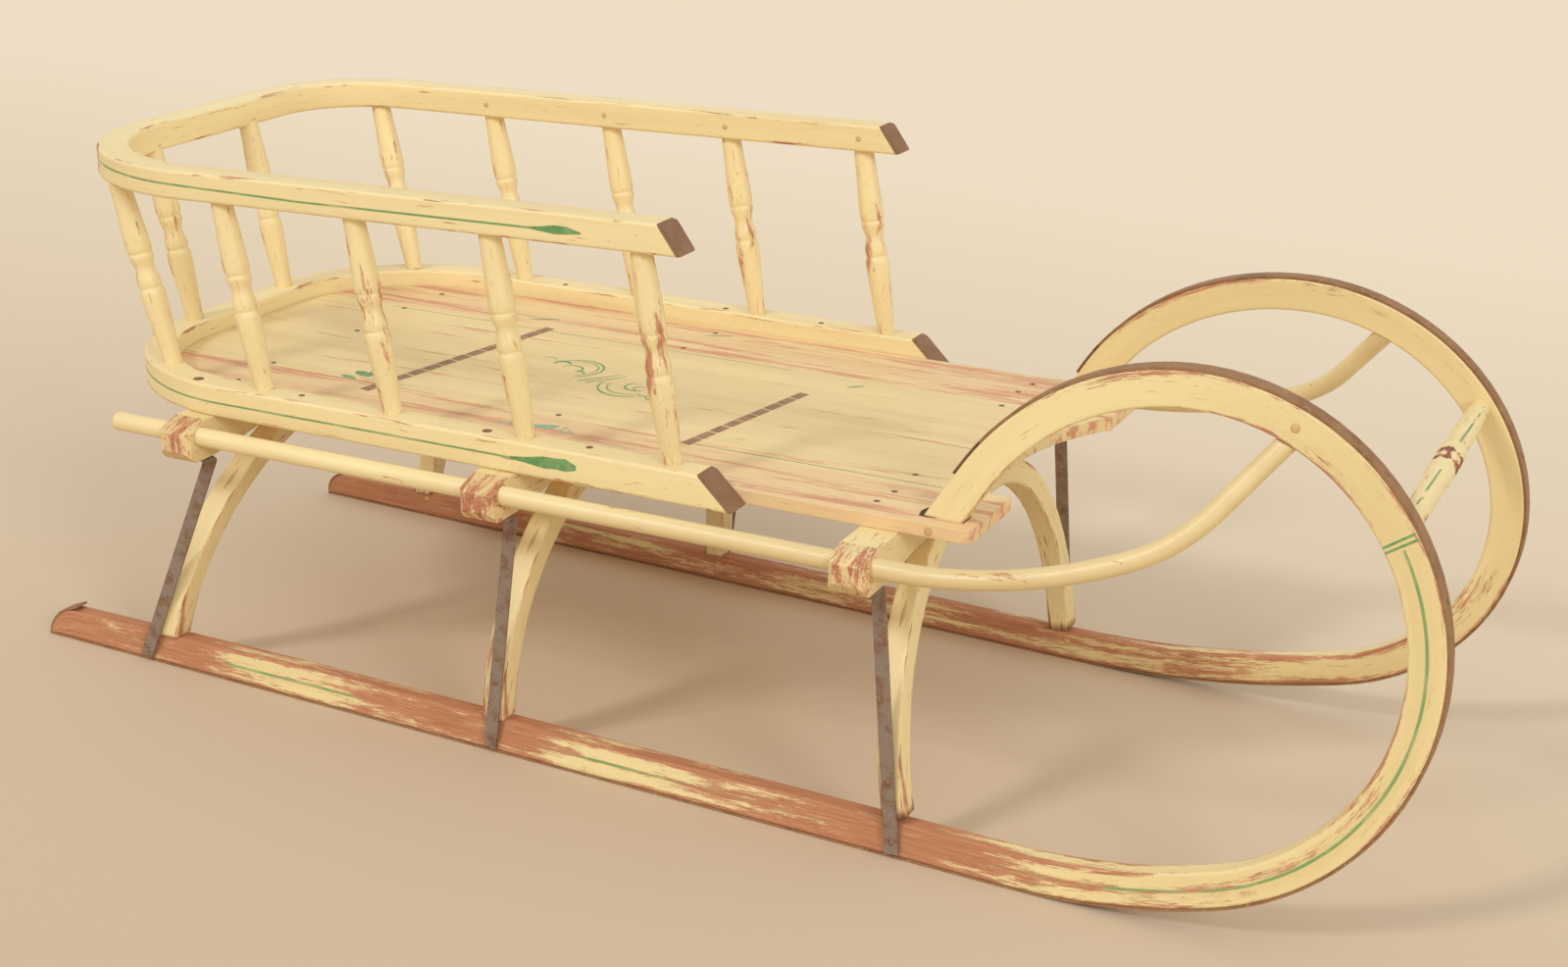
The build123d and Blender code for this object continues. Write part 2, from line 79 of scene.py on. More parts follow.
runner_bends = {
    "left": dict(side=1, toe_radius=1060.0, radius=236.0, centre=270.5, back_radius=277.0),
    "right": dict(side=-1, toe_radius=630.0, radius=247.0, centre=265.0, back_radius=249.0),
}


def about(angle, axis, x, z):
    """A turn about an axis through a point of the middle plane."""
    pivot = Vector((x, 0, z))
    return Matrix.Translation(pivot) @ Matrix.Rotation(angle, 4, axis) @ Matrix.Translation(-pivot)


def linear(code):
    """sRGB hex to the linear colour that a shader takes."""
    channels = [int(code[i:i + 2], 16) / 255 for i in (1, 3, 5)]
    return [c / 12.92 if c < 0.04045 else ((c + 0.055) / 1.055) ** 2.4 for c in channels] + [1.0]


def add(tree, kind, inputs=(), out=0, **settings):
    """Adds a node with its settings and its inputs, by name or place, and gives one output."""
    node = tree.nodes.new(kind)
    for key, value in settings.items():
        setattr(node, key, value)
    for socket, value in dict(inputs).items():
        if isinstance(value, bpy.types.NodeSocket):
            tree.links.new(value, node.inputs[socket])
        else:
            node.inputs[socket].default_value = value
    return node.outputs[out] if node.outputs else node


def blank_material(name):
    """A new material and its empty node tree."""
    material = bpy.data.materials.new(name)
    material.use_nodes = True
    material.node_tree.nodes.clear()
    return material, material.node_tree


def old_paint(name, paint, shade, primer, wood, dark, grain, source="UV", craze=0.35, chips=0.62,
              rule=None, rule_half=1.5, patch=(1.0, 1.0), polish=0.46, speckle=0.16):
    """Aged oil paint on bent or turned wood.

    grain is the size of one grain streak along each axis in millimetres; the attribute bare says
    where the paint has worn through, and the attribute rule is the distance to a painted line.
    """
    material, tree = blank_material(name)
    place = add(tree, "ShaderNodeTexCoord", out=source)
    streak = np.array([1 / (width * mm) for width in grain])
    # Noise fields: scale along the grain, how much finer across it, detail and roughness
    noises = {}
    for label, scale, across, detail, rough in (
        ("flakes", patch[0] * 0.35, patch[1], 7.0, 0.66), ("specks", 3.6, 1.0, 4.0, 0.75),
        ("fine", 1.6, 1.0, 4.0, 0.7), ("fibre", 1.0, 2.6, 6.0, 0.7), ("tone", 0.09, 1.0, 3.0, 0.5),
    ):
        stretched = add(tree, "ShaderNodeVectorMath", {
            0: place, 1: tuple(streak * scale * (1.0, across, across)),
        }, operation="MULTIPLY")
        noises[label] = add(tree, "ShaderNodeTexNoise", {
            "Vector": stretched, "Scale": 1.0, "Detail": detail, "Roughness": rough,
        })
    # Shares read from the fields: field, its range, and the share at each end of that range
    shares = {}
    for label, field, low, high, first, last in (
        ("flakes", "flakes", 0.33, 0.67, 0.0, 1.0), ("specks", "specks", 0.3, 0.7, -speckle, speckle),
        ("unchipped", "fine", chips, chips + 0.03, 1.0, 0.0), ("wood", "fibre", 0.36, 0.64, 0.0, 1.0),
        ("streaks", "fibre", 0.30, 0.62, 0.2475, 0.0), ("shade", "tone", 0.38, 0.66, 0.0, 1.0),
        ("line", "fine", 0.50, 0.62, 0.95, 0.45), ("crazing", "tone", 0.42, 0.6, 0.25, 1.0),
    ):
        shares[label] = add(tree, "ShaderNodeMapRange", {
            "Value": noises[field], "From Min": low, "From Max": high, "To Min": first, "To Max": last,
        })
    bare = add(tree, "ShaderNodeAttribute", out="Fac", attribute_name="bare")
    thick = add(tree, "ShaderNodeMath", {0: shares["flakes"], 1: shares["specks"]}, operation="ADD")
    thick = add(tree, "ShaderNodeMath", {0: thick, 1: bare}, operation="SUBTRACT")
    held = add(tree, "ShaderNodeMapRange", {"Value": thick, "From Min": -0.015, "From Max": 0.025})
    rim = add(tree, "ShaderNodeMapRange", {"Value": thick, "From Min": -0.16, "From Max": -0.02})
    film = add(tree, "ShaderNodeMath", {0: held, 1: shares["unchipped"]}, operation="MULTIPLY")
    cells = add(tree, "ShaderNodeVectorMath", {
        0: place, 1: tuple(streak * (2.2, 1.6, 1.6)),
    }, operation="MULTIPLY")
    edges = add(tree, "ShaderNodeTexVoronoi", {
        "Vector": cells, "Scale": 1.0, "Randomness": 1.0,
    }, out="Distance", feature="DISTANCE_TO_EDGE")
    crack = add(tree, "ShaderNodeMapRange", {
        "Value": edges, "From Min": 0.0, "From Max": 0.045, "To Min": 1.0, "To Max": 0.0,
    })
    crack = add(tree, "ShaderNodeMath", {0: crack, 1: shares["crazing"]}, operation="MULTIPLY")
    crazed = add(tree, "ShaderNodeMath", {0: crack, 1: craze}, operation="MULTIPLY")
    coats = [(shares["shade"], shade), (shares["streaks"], shade)]
    if rule:
        away = add(tree, "ShaderNodeAttribute", out="Fac", attribute_name="rule")
        away = add(tree, "ShaderNodeMath", {0: away}, operation="ABSOLUTE")
        line = add(tree, "ShaderNodeMapRange", {
            "Value": away, "From Min": rule_half - 0.3, "From Max": rule_half + 0.3,
            "To Min": 1.0, "To Max": 0.0,
        })
        line = add(tree, "ShaderNodeMath", {0: line, 1: shares["line"]}, operation="MULTIPLY")
        coats.append((line, rule))
    coats.append((crazed, primer))
    colours = []
    for under, layers in ((dark, [(shares["wood"], wood), (rim, primer)]), (paint, coats)):
        colour = linear(under)
        for share, coat in layers:
            colour = add(tree, "ShaderNodeMix", {
                "Factor": share, 6: colour, 7: linear(coat),
            }, out=2, data_type="RGBA")
        colours.append(colour)
    colour = add(tree, "ShaderNodeMix", {
        "Factor": film, 6: colours[0], 7: colours[1],
    }, out=2, data_type="RGBA")
    height = 0.0
    for part, lift in ((noises["fibre"], 0.5), (film, 0.6), (crack, -0.3)):
        height = add(tree, "ShaderNodeMath", {0: part, 1: lift, 2: height}, operation="MULTIPLY_ADD")
    relief = add(tree, "ShaderNodeBump", {"Strength": 0.45, "Distance": 0.5 * mm, "Height": height})
    gloss = add(tree, "ShaderNodeMapRange", {"Value": film, "To Min": 0.82, "To Max": polish})
    shader = add(tree, "ShaderNodeBsdfPrincipled", {
        "Base Color": colour, "Roughness": gloss, "Normal": relief,
    })
    add(tree, "ShaderNodeOutputMaterial", {"Surface": shader})
    return material


def trace(moves, spacing):
    """Stations along lines and arcs: place, direction to the left of the walk, length so far."""
    stations = []
    for move in moves:
        if move[0] == "line":
            start, end = np.array(move[1], float), np.array(move[2], float)
            reach = np.linalg.norm(end - start)
            left = (-(end - start)[1] / reach, (end - start)[0] / reach)
            for share in np.linspace(0, 1, max(2, round(reach / spacing) + 1)):
                stations.append((*(start + share * (end - start)), *left))
        else:
            centre, radius, first, last = move[1:]
            turn = 1 if last > first else -1
            count = max(3, math.ceil(abs(math.radians(last - first)) * radius / spacing) + 1)
            for angle in np.radians(np.linspace(first, last, count)):
                c, s = math.cos(angle), math.sin(angle)
                place = (centre[0] + radius * c, centre[1] + radius * s)
                stations.append((*place, -turn * c, -turn * s))
    doubled = 0.2
    kept = [stations[0]]
    for station in stations[1:]:
        if math.dist(station[:2], kept[-1][:2]) > doubled:
            kept.append(station)
    line = np.array(kept)
    steps = np.linalg.norm(np.diff(line[:, :2], axis=0), axis=1)
    return line, np.concatenate([[0], np.cumsum(steps)])


def bar_section(deep, wide, corner, edge_bare):
    """A rectangle with eased corners: place and wear of each point, and the length round it."""
    rubbed, clear = 1.2, 3.6
    points = []
    middles = (
        (corner, -wide / 2 + corner, 180), (deep - corner, -wide / 2 + corner, 270),
        (deep - corner, wide / 2 - corner, 0), (corner, wide / 2 - corner, 90),
    )
    for k, (a, b, start) in enumerate(middles):
        for turn in (0, 45, 90):
            angle = math.radians(start + turn)
            points.append((a + corner * math.cos(angle), b + corner * math.sin(angle), edge_bare))
        na, nb, after = middles[(k + 1) % 4]
        begin = points[-1][:2]
        angle = math.radians(after)
        end = (na + corner * math.cos(angle), nb + corner * math.sin(angle))
        side = math.dist(begin, end)
        for reach, wear in (
            (rubbed, 0.55), (clear, 0.0), (side / 2, 0.0), (side - clear, 0.0), (side - rubbed, 0.55),
        ):
            share = reach / side
            points.append((
                begin[0] + share * (end[0] - begin[0]), begin[1] + share * (end[1] - begin[1]),
                edge_bare * wear,
            ))
    outline = np.array(points)
    loop = np.vstack([outline, outline[:1]])[:, :2]
    around = np.concatenate([[0], np.cumsum(np.linalg.norm(np.diff(loop, axis=0), axis=1))])
    return outline, around


def stand(name, data):
    """A new object in the scene, at the origin."""
    made = bpy.data.objects.new(name, data)
    bpy.context.scene.collection.objects.link(made)
    return made


def finished(name, mesh, materials):
    """Turns a mesh into an object with normals that follow its large faces."""
    piece = stand(name, mesh)
    for material in materials:
        mesh.materials.append(material)
    mesh.polygons.foreach_set("use_smooth", [True] * len(mesh.polygons))
    modifier = piece.modifiers.new("weighted", "WEIGHTED_NORMAL")
    modifier.keep_sharp = False
    evaluated = piece.evaluated_get(bpy.context.evaluated_depsgraph_get())
    piece.data = bpy.data.meshes.new_from_object(evaluated)
    piece.modifiers.clear()
    bpy.data.meshes.remove(mesh)
    return piece


def skin(name, rings, lengths, around, bare, rule, materials, caps=(0, 0)):
    """Closes rings of points in millimetres into a bar with a UV map along and round it."""
    n, m = rings.shape[:2]
    faces, uvs = [], []
    for i in range(n - 1):
        for j in range(m):
            k = (j + 1) % m
            faces.append([i * m + j, i * m + k, (i + 1) * m + k, (i + 1) * m + j])
            uvs.append([
                (lengths[i], around[j]), (lengths[i], around[j + 1]),
                (lengths[i + 1], around[j + 1]), (lengths[i + 1], around[j]),
            ])
    corners = rings.reshape(-1, 3)
    quads = corners[np.array(faces)]
    volume = np.einsum("ij,ij->i", quads[:, 0], np.cross(quads[:, 1], quads[:, 2])).sum()
    volume += np.einsum("ij,ij->i", quads[:, 0], np.cross(quads[:, 2], quads[:, 3])).sum()
    for ring, last in ((0, False), (n - 1, True)):
        loop = [ring * m + j for j in range(m)]
        faces.append(loop if last else loop[::-1])
        flat = [(lengths[ring] + around[j], around[j]) for j in range(m)]
        uvs.append(flat if last else flat[::-1])
    if volume < 0:
        faces = [face[::-1] for face in faces]
        uvs = [uv[::-1] for uv in uvs]
    mesh = bpy.data.meshes.new(name)
    mesh.from_pydata((corners * mm).tolist(), [], faces)
    layer = mesh.uv_layers.new(name="UVMap")
    layer.data.foreach_set("uv", (np.array([p for uv in uvs for p in uv]) * mm).ravel())
    for label, values in (("bare", bare), ("rule", rule)):
        mesh.attributes.new(label, "FLOAT", "POINT").data.foreach_set("value", values.ravel())
    mesh.polygons[len(faces) - 2].material_index = caps[0]
    mesh.polygons[len(faces) - 1].material_index = caps[1]
    return finished(name, mesh, materials)


def placed(points, matrix):
    """Points moved by a matrix."""
    return points @ np.array(matrix)[:3, :3].T + np.array(matrix)[:3, 3]


def keep(piece, node):
    """Shows the piece in place of its CAD node."""
    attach(piece, "root")
    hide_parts(node)


seat = about(-seat_pitch, "Y", 0, deck_top)
# Flaked oil paint over ash: broken patches of cream along the grain, with salmon primer at their
# rims and a green line
runner_paint = old_paint(
    "flaked_cream_paint_on_ash", "#F1DDA4", "#E4CD92", "#D6A27C", "#CD9068", "#A56C49",
    (70.0, 4.0, 4.0), rule="#76A05C", craze=0.2, patch=(1.0, 0.6), speckle=0.36, chips=0.66,
)
# Wear of the paint at lengths from the heel
wear_along = {
    "right": (
        (0, 0.95), (60, 0.92), (84, 0.60), (165, 0.62), (185, 0.95), (205, 0.88), (250, 0.52),
        (330, 0.42), (450, 0.46), (560, 0.64), (612, 0.86), (645, 0.58), (700, 0.43), (850, 0.46),
        (905, 0.70), (940, 0.88), (1050, 0.74), (1120, 0.50), (1260, 0.28), (1420, 0.14),
        (1700, 0.06), (2400, 0.04),
    ),
    "left": (
        (0, 0.98), (240, 0.92), (300, 0.62), (520, 0.58), (640, 0.68), (800, 0.50), (1060, 0.66),
        (1200, 0.48), (1330, 0.30), (1450, 0.14), (1700, 0.08), (2400, 0.05),
    ),
}

cross_lines = (34.0, 35.3)


def on_scroll(bend, radius, turn):
    """A point round a scroll's centre, turn degrees up from straight forward."""
    angle = math.radians(turn)
    return scroll_x + radius * math.cos(angle), bend["centre"] + radius * math.sin(angle)


def tail_bend(bend, radius):
    """Centre of a scroll's return arc, and where an arc of that radius about it ends."""
    centre = (scroll_x, bend["centre"] + bend["radius"] - bend["back_radius"])
    last = math.radians(90 + return_sweep)
    return centre, (centre[0] + radius * math.cos(last), centre[1] + radius * math.sin(last))


for name, bend in runner_bends.items():
    side = bend["side"]
    radius = bend["radius"]
    drop = bend["toe_radius"] - bend["centre"]
    run = math.sqrt((bend["toe_radius"] - radius) ** 2 - drop**2)
    toe_x = scroll_x - run
    toe_sweep = math.degrees(math.atan(run / drop))
    outer_radius = bend["back_radius"] - shoe_depth
    back, end = tail_bend(bend, outer_radius)
    tail = (end[1] - tail_level) / math.sin(math.radians(return_sweep))
    tail_end = (end[0] - tail * math.cos(math.radians(return_sweep)), tail_level)
    line, length = trace([
        ("line", (rear_x, shoe_depth), (rear_x + heel_radius, shoe_depth)),
        ("line", (rear_x + heel_radius, shoe_depth), (toe_x, shoe_depth)),
        ("arc", (toe_x, bend["toe_radius"]), bend["toe_radius"] - shoe_depth, 270, 270 + toe_sweep),
        ("arc", (scroll_x, bend["centre"]), radius - shoe_depth, toe_sweep - 90, 90),
        ("arc", back, outer_radius, 90, 90 + return_sweep),
        ("line", end, tail_end),
    ], ring_spacing)
    heel = trace([("arc", (heel_radius, 0), heel_radius, 180, 90)], heel_spacing)[0][1:, :2]
    heel_line = np.array([(rear_x + x, shoe_depth, 0, 1) for x in heel[:, 0]])
    beyond = line[:, 0] > rear_x + heel_radius + 1
    length = np.concatenate([heel[:, 0], length[beyond]])
    line = np.vstack([heel_line, line[beyond]])
    height = np.full(len(line), runner_depth)
    height[:len(heel)] = np.maximum(heel[:, 1], heel_edge)
    taper = np.clip((rear_x + heel_run - line[:, 0]) / (heel_run - heel_radius), 0, 1)
    straight = (line[:, 1] < shoe_depth + 1) & (np.arange(len(line)) >= len(heel))
    height[straight] -= heel_drop * taper[straight]
    outline, around = bar_section(runner_depth, runner_thickness, corner_ease, edge_wear)
    a, b, edge = outline.T
    up = np.array([0, -side * math.sin(runner_lean), math.cos(runner_lean)])
    along = np.array([1.0, 0, 0])
    share = (height / runner_depth)[:, None] * a[None, :]
    x = line[:, 0:1] + line[:, 2:3] * share
    v = line[:, 1:2] + line[:, 3:4] * share
    rings = x[..., None] * along + v[..., None] * up
    rings[..., 1] += side * (sole_half_track + b[None, :])
    deck_up = np.array(seat.col[2][:3])
    steep = math.radians(return_sweep)
    tail_way = -along * math.cos(steep) - up * math.sin(steep)
    above = (rings - np.array(seat @ Vector((0, 0, deck_bottom)))) @ deck_up
    on_tail = (line[:, 0] < end[0]) & (line[:, 1] > bend["centre"])
    cut = np.flatnonzero(on_tail & (above.min(1) < tail_reach))[0]
    rings[cut] -= tail_way * ((above[cut] - tail_clear) / (tail_way @ deck_up))[:, None]
    rings, line, length = rings[:cut + 1], line[:cut + 1], length[:cut + 1]
    level = np.interp(length, *zip(*wear_along[name]))[:, None]
    on_sole = np.clip((sole_wear_end - length) / sole_wear_fade, 0, 1)[:, None]
    upper, under = (a > runner_depth - edge_band)[None, :], (a < 2 * edge_band)[None, :]
    bare = level + on_sole * (upper_wear * upper + under_wear * under)
    bare = bare + edge[None, :] * (1 - 0.6 * on_sole)
    outward = (b > runner_thickness / 2 - 0.5)[None, :]
    rule = np.where(outward, a[None, :] - runner_depth / 2, no_line) + 0 * length[:, None]
    cross_place = on_scroll(bend, radius - shoe_depth, cross_lines[0])
    cross_line = np.argmin(np.linalg.norm(line[:, :2] - cross_place, axis=1))
    rule = np.where(np.arange(len(line))[:, None] > cross_line, no_line, rule)
    runner = skin(f"bent_runner_{name}", rings, length, around, bare, rule, [runner_paint])
    keep(runner, f"runner_{name}")

# Iron shoes
# A flat iron strip nailed under each runner and round its scroll, folded up over the heel.
# Brown paint over rust, rubbed paler in small specks.
def iron(name, coat, rust, worn, rough, scale):
    """Painted or plain wrought iron with rust blooms; scale is one bloom in millimetres."""
    material, tree = blank_material(name)
    place = add(tree, "ShaderNodeTexCoord", out="Object")
    bloom = add(tree, "ShaderNodeTexNoise", {
        "Vector": place, "Scale": 1 / (scale * mm), "Detail": 6.0, "Roughness": 0.65,
    })
    grit = add(tree, "ShaderNodeTexNoise", {"Vector": place, "Scale": 8 / (scale * mm), "Detail": 3.0})
    colour = linear(coat)
    for field, low, high, tone in ((bloom, 0.48, 0.62, rust), (grit, 0.58, 0.70, worn)):
        share = add(tree, "ShaderNodeMapRange", {"Value": field, "From Min": low, "From Max": high})
        colour = add(tree, "ShaderNodeMix", {
            "Factor": share, 6: colour, 7: linear(tone),
        }, out=2, data_type="RGBA")
    relief = add(tree, "ShaderNodeBump", {"Strength": 0.3, "Distance": 0.3 * mm, "Height": grit})
    shader = add(tree, "ShaderNodeBsdfPrincipled", {
        "Base Color": colour, "Metallic": 0.05, "Roughness": rough, "Normal": relief,
    })
    add(tree, "ShaderNodeOutputMaterial", {"Surface": shader})
    return material


def eased(node, name, ease, base, edge, materials, zone=None, slices=()):
    """A merged copy of a CAD node with its sharp edges eased and its wear held on face corners.

    zone gives the wear at a place, for each face, or for each corner where slices cut the mesh
    across Y at those places in millimetres.
    """
    mesh = bmesh.new()
    mesh.from_mesh(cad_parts[node].data)
    bmesh.ops.remove_doubles(mesh, verts=mesh.verts, dist=0.01 * mm)
    bmesh.ops.dissolve_limit(
        mesh, angle_limit=math.radians(0.4), verts=mesh.verts, edges=mesh.edges, delimit=set()
    )
    walls = [edge for edge in mesh.edges if len(edge.link_faces) == 2]
    sharp = [wall for wall in walls if wall.calc_face_angle() > math.radians(28)]
    bevels = set(bmesh.ops.bevel(
        mesh, geom=sharp, offset=ease * mm, segments=2, profile=0.5, affect="EDGES",
        clamp_overlap=True,
    )["faces"])
    for place in slices:
        parts = mesh.verts[:] + mesh.edges[:] + mesh.faces[:]
        bmesh.ops.bisect_plane(mesh, geom=parts, plane_co=(0, place * mm, 0), plane_no=(0, 1, 0))
    if slices:
        # The cuts come in any order, so places decide it
        one_way = Vector((0.31, 0.87, 0.53))
        mesh.verts.sort(key=lambda vert: vert.co.dot(one_way))
        mesh.faces.sort(key=lambda face: face.calc_center_median().dot(one_way))
    layer = mesh.loops.layers.float.new("bare")
    rule = mesh.loops.layers.float.new("rule")
    for face in mesh.faces:
        middle = face.calc_center_median() / mm
        wear = zone(middle, face.normal) if zone else base
        if face in bevels:
            wear = max(wear, edge)
        for loop in face.loops:
            loop[layer] = zone(loop.vert.co / mm, face.normal) if slices else wear
            loop[rule] = no_line
    copy = bpy.data.meshes.new(name)
    mesh.to_mesh(copy)
    mesh.free()
    return finished(name, copy, materials)


# Brown enamel on strip iron, dull and chipped, which shows as a thin dark rim round the scrolls
shoe_iron = iron("brown_enamelled_strip_iron", "#9A7048", "#895E3A", "#A98960", 0.6, 30.0)

shoe_thickness = 2.5
shoe_width = 18.0
shoe_ease = 0.4
tongue_start = 53.0
tongue_tail = 9.0
tongue_spacing = 6.0
tongue_lift = 0.2


def runner_face(bend, x, v, out):
    """A point of a runner's leaning plane, out millimetres from its middle towards the outside."""
    y = bend["side"] * (sole_half_track - v * math.sin(runner_lean) + out)
    return np.array([x, y, v * math.cos(runner_lean)])


def joined(first, second):
    """Adds the second piece's mesh to the first's and takes the second away."""
    both = bmesh.new()
    both.from_mesh(first.data)
    both.from_mesh(second.data)
    both.to_mesh(first.data)
    both.free()
    bpy.data.objects.remove(second)


for name, bend in runner_bends.items():
    shoe = eased(f"runner_shoe_{name}", f"iron_strip_{name}", shoe_ease, 0, 0, [shoe_iron])
    back, end = tail_bend(bend, bend["back_radius"])
    last = math.radians(90 + return_sweep)
    tip = (end[0] - tongue_tail * math.sin(last), end[1] + tongue_tail * math.cos(last))
    line, length = trace([
        ("arc", back, bend["back_radius"], 90 + tongue_start, 90 + return_sweep), ("line", end, tip),
    ], tongue_spacing)
    half = shoe_width / 2
    outline = ((tongue_lift, -half), (shoe_thickness, -half), (shoe_thickness, half), (tongue_lift, half))
    rings = np.array([[
        runner_face(bend, x + nx * a, v + nv * a, b) for a, b in outline
    ] for x, v, nx, nv in line])
    around = np.cumsum([0, shoe_thickness, shoe_width, shoe_thickness, shoe_width])
    blank = np.zeros(rings.shape[:2])
    tongue = skin(f"strip_end_{name}", rings, length, around, blank, blank + no_line, [shoe_iron])
    joined(shoe, tongue)
    keep(shoe, f"runner_shoe_{name}")

# Knees
# Three bent ash hoops stand on the runners and carry the beams. They are painted all over and
# rubbed to the primer along their edges and at their feet.
knee_wear = 0.06
beam_bottom = 283.0
runner_top = 35.8
knee_thickness = 24.0
knee_depth = 27.0
knee_radius = 234.0
knee_crown_cut = 4.0
knee_crown_shift = -6.0
knee_overrun = 8.0
knee_edge_wear = 0.22
foot_wear = 0.34
foot_wear_reach = 40.0
knee_centre_y = sole_half_track - math.tan(runner_lean) * runner_top
# Each frame: name, place of its beam and of its right foot, and how far back its left foot stands
frames = (
    ("rear", -527.0, -596.0, 14.0),
    ("middle", -164.0, -180.0, 12.0),
    ("front", 228.0, 263.0, 17.0),
)

# Cream oil paint on bent ash, smooth with fine streaks of salmon primer at the edges
knee_paint = old_paint(
    "cream_paint_on_bent_ash", "#F2DEA6", "#E4CE94", "#D0956C", "#C58A63", "#98654A",
    (60.0, 4.0, 4.0), craze=0.2, patch=(2.2, 1.0),
)

for name, beam_x, foot_x, set_back in frames:
    crown_x = beam_x + knee_crown_shift
    across = Vector((-set_back, 2 * knee_centre_y, 0))
    upright = Vector((crown_x - foot_x + set_back / 2, 0, beam_bottom - runner_top))
    normal = across.cross(upright).normalized()
    wide_way = upright.cross(normal).normalized()
    up_way = upright.normalized()
    outer_y = knee_centre_y + knee_depth / 2
    turn_y = outer_y - knee_radius
    leg = beam_bottom - runner_top + knee_overrun
    line, length = trace([
        ("line", (outer_y, -leg), (outer_y, -knee_radius)),
        ("arc", (turn_y, -knee_radius), knee_radius, 0, 90),
        ("line", (turn_y, 0), (-turn_y, 0)),
        ("arc", (-turn_y, -knee_radius), knee_radius, 90, 180),
        ("line", (-outer_y, -knee_radius), (-outer_y, -leg)),
    ], ring_spacing)
    outline, around = bar_section(knee_depth, knee_thickness, corner_ease, knee_edge_wear)
    a, b, edge = outline.T
    p = line[:, 0:1] + line[:, 2:3] * a[None, :]
    q = line[:, 1:2] + line[:, 3:4] * a[None, :]
    rings = p[..., None] * np.array(wide_way) + q[..., None] * np.array(up_way)
    rings = rings + b[None, :, None] * np.array(normal)
    rings = rings + np.array([crown_x, 0, beam_bottom + knee_crown_cut])
    rings = placed(rings, seat)
    foot = np.minimum(length, length[-1] - length)[:, None]
    bare = knee_wear + edge[None, :] + foot_wear * np.exp(-foot / foot_wear_reach)
    rule = np.full(bare.shape, no_line)
    knee = skin(f"bent_knee_{name}", rings, length, around, bare, rule, [knee_paint])
    trimmed = bmesh.new()
    trimmed.from_mesh(knee.data)
    cut = bmesh.ops.bisect_plane(
        trimmed, geom=trimmed.verts[:] + trimmed.edges[:] + trimmed.faces[:],
        plane_co=(0, 0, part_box(f"knee_{name}")[0].z), plane_no=(0, 0, -1), clear_outer=True,
    )["geom_cut"]
    bmesh.ops.holes_fill(trimmed, edges=[e for e in cut if isinstance(e, bmesh.types.BMEdge)])
    trimmed.to_mesh(knee.data)
    trimmed.free()
    keep(knee, f"knee_{name}")

# Cross beams
# Sawn beams under the deck end in faceted knobs that hold the side poles. The end grain has
# drunk the paint, so it shows salmon and cream in short upright streaks.
knob_start = 279.0
knob_end = 318.0
beam_ease = 1.4
beam_edge_wear = 0.42
end_grain_wear = 0.52
knob_top_wear = 0.36
knob_side_wear = 0.26
beam_side_wear = 0.05

# Cream paint over sawn ash, nearly whole
beam_paint = old_paint(
    "cream_paint_on_sawn_beam", "#F0DCA4", "#E3CC92", "#D0946C", "#C28660", "#946048",
    (5.0, 50.0, 6.0), source="Object", craze=0.25,
)
# The same paint soaked into end grain: streaked, matt and half worn away
knob_paint = old_paint(
    "worn_paint_on_end_grain", "#EED8A0", "#E2C890", "#D0906C", "#C98662", "#A0664A",
    (3.2, 30.0, 11.0), source="Object", craze=0.3, chips=0.56, polish=0.6, speckle=0.3,
)


def beam_wear(middle, normal):
    """Most on the knobs' end grain, least along the beam."""
    if abs(middle.y) > knob_end:
        return end_grain_wear
    if abs(middle.y) > knob_start:
        return knob_top_wear if normal.z > 0.2 else knob_side_wear
    return beam_side_wear


for name, beam_x, foot_x, set_back in frames:
    beam = eased(
        f"cross_beam_{name}", f"knobbed_beam_{name}", beam_ease, beam_side_wear, beam_edge_wear,
        [beam_paint, knob_paint], beam_wear,
    )
    for face in beam.data.polygons:
        if abs(face.center.y) > knob_start * mm:
            face.material_index = 1
    keep(beam, f"cross_beam_{name}")

# Side poles
# Round ash poles run through the knobs and bend up and in to the scrolls, pegged at the end.
# Handled for years, the paint is smooth, thin and faintly streaked.
pole_ease = 0.6
pole_wear = 0.04
pole_end_wear = 0.3

# Hand-polished cream paint: satin, with only small chips
pole_paint = old_paint(
    "handled_cream_paint_on_pole", "#F2DEA8", "#DEC690", "#CE9A70", "#C28C66", "#98664A",
    (60.0, 9.0, 9.0), source="Object", craze=0.08, chips=0.68, polish=0.36,
)
for name in runner_bends:
    pole = eased(f"pole_{name}", f"side_pole_{name}", pole_ease, pole_wear, pole_end_wear, [pole_paint])
    keep(pole, f"pole_{name}")

# Braces
# Flat straps of wrought iron hooked under the knobs and nailed down to the runners.
# The iron is bare, grey-brown and mottled.
strap_ease = 0.5

# Forged strap iron: dull, with lighter scuffs and brown rust
brace_iron = iron("forged_strap_iron", "#8C7969", "#7E5B43", "#A89B90", 0.6, 16.0)
for name, beam_x, foot_x, set_back in frames:
    for side_name in runner_bends:
        node = f"brace_{name}_{side_name}"
        strap = eased(node, f"iron_strap_{name}_{side_name}", strap_ease, 0, 0, [brace_iron])
        keep(strap, node)

# Deck
# Three planks nailed to the beams, scooped at the front between two ears. The paint is worn
# along the grain, most on the side planks and along every edge.
plank_ease = 1.1
plank_edge_wear = 0.48
plank_end_wear = 0.36
plank_side_wear = 0.30

# Cream paint worn thin along plank grain, with long salmon streaks
plank_paint = old_paint(
    "worn_cream_paint_on_plank", "#EED8A0", "#E4CB94", "#E0AC86", "#D9A27C", "#BE8664",
    (110.0, 3.0, 3.0), source="Object", craze=0.08, chips=0.64, patch=(1.2, 0.5), speckle=0.22,
)
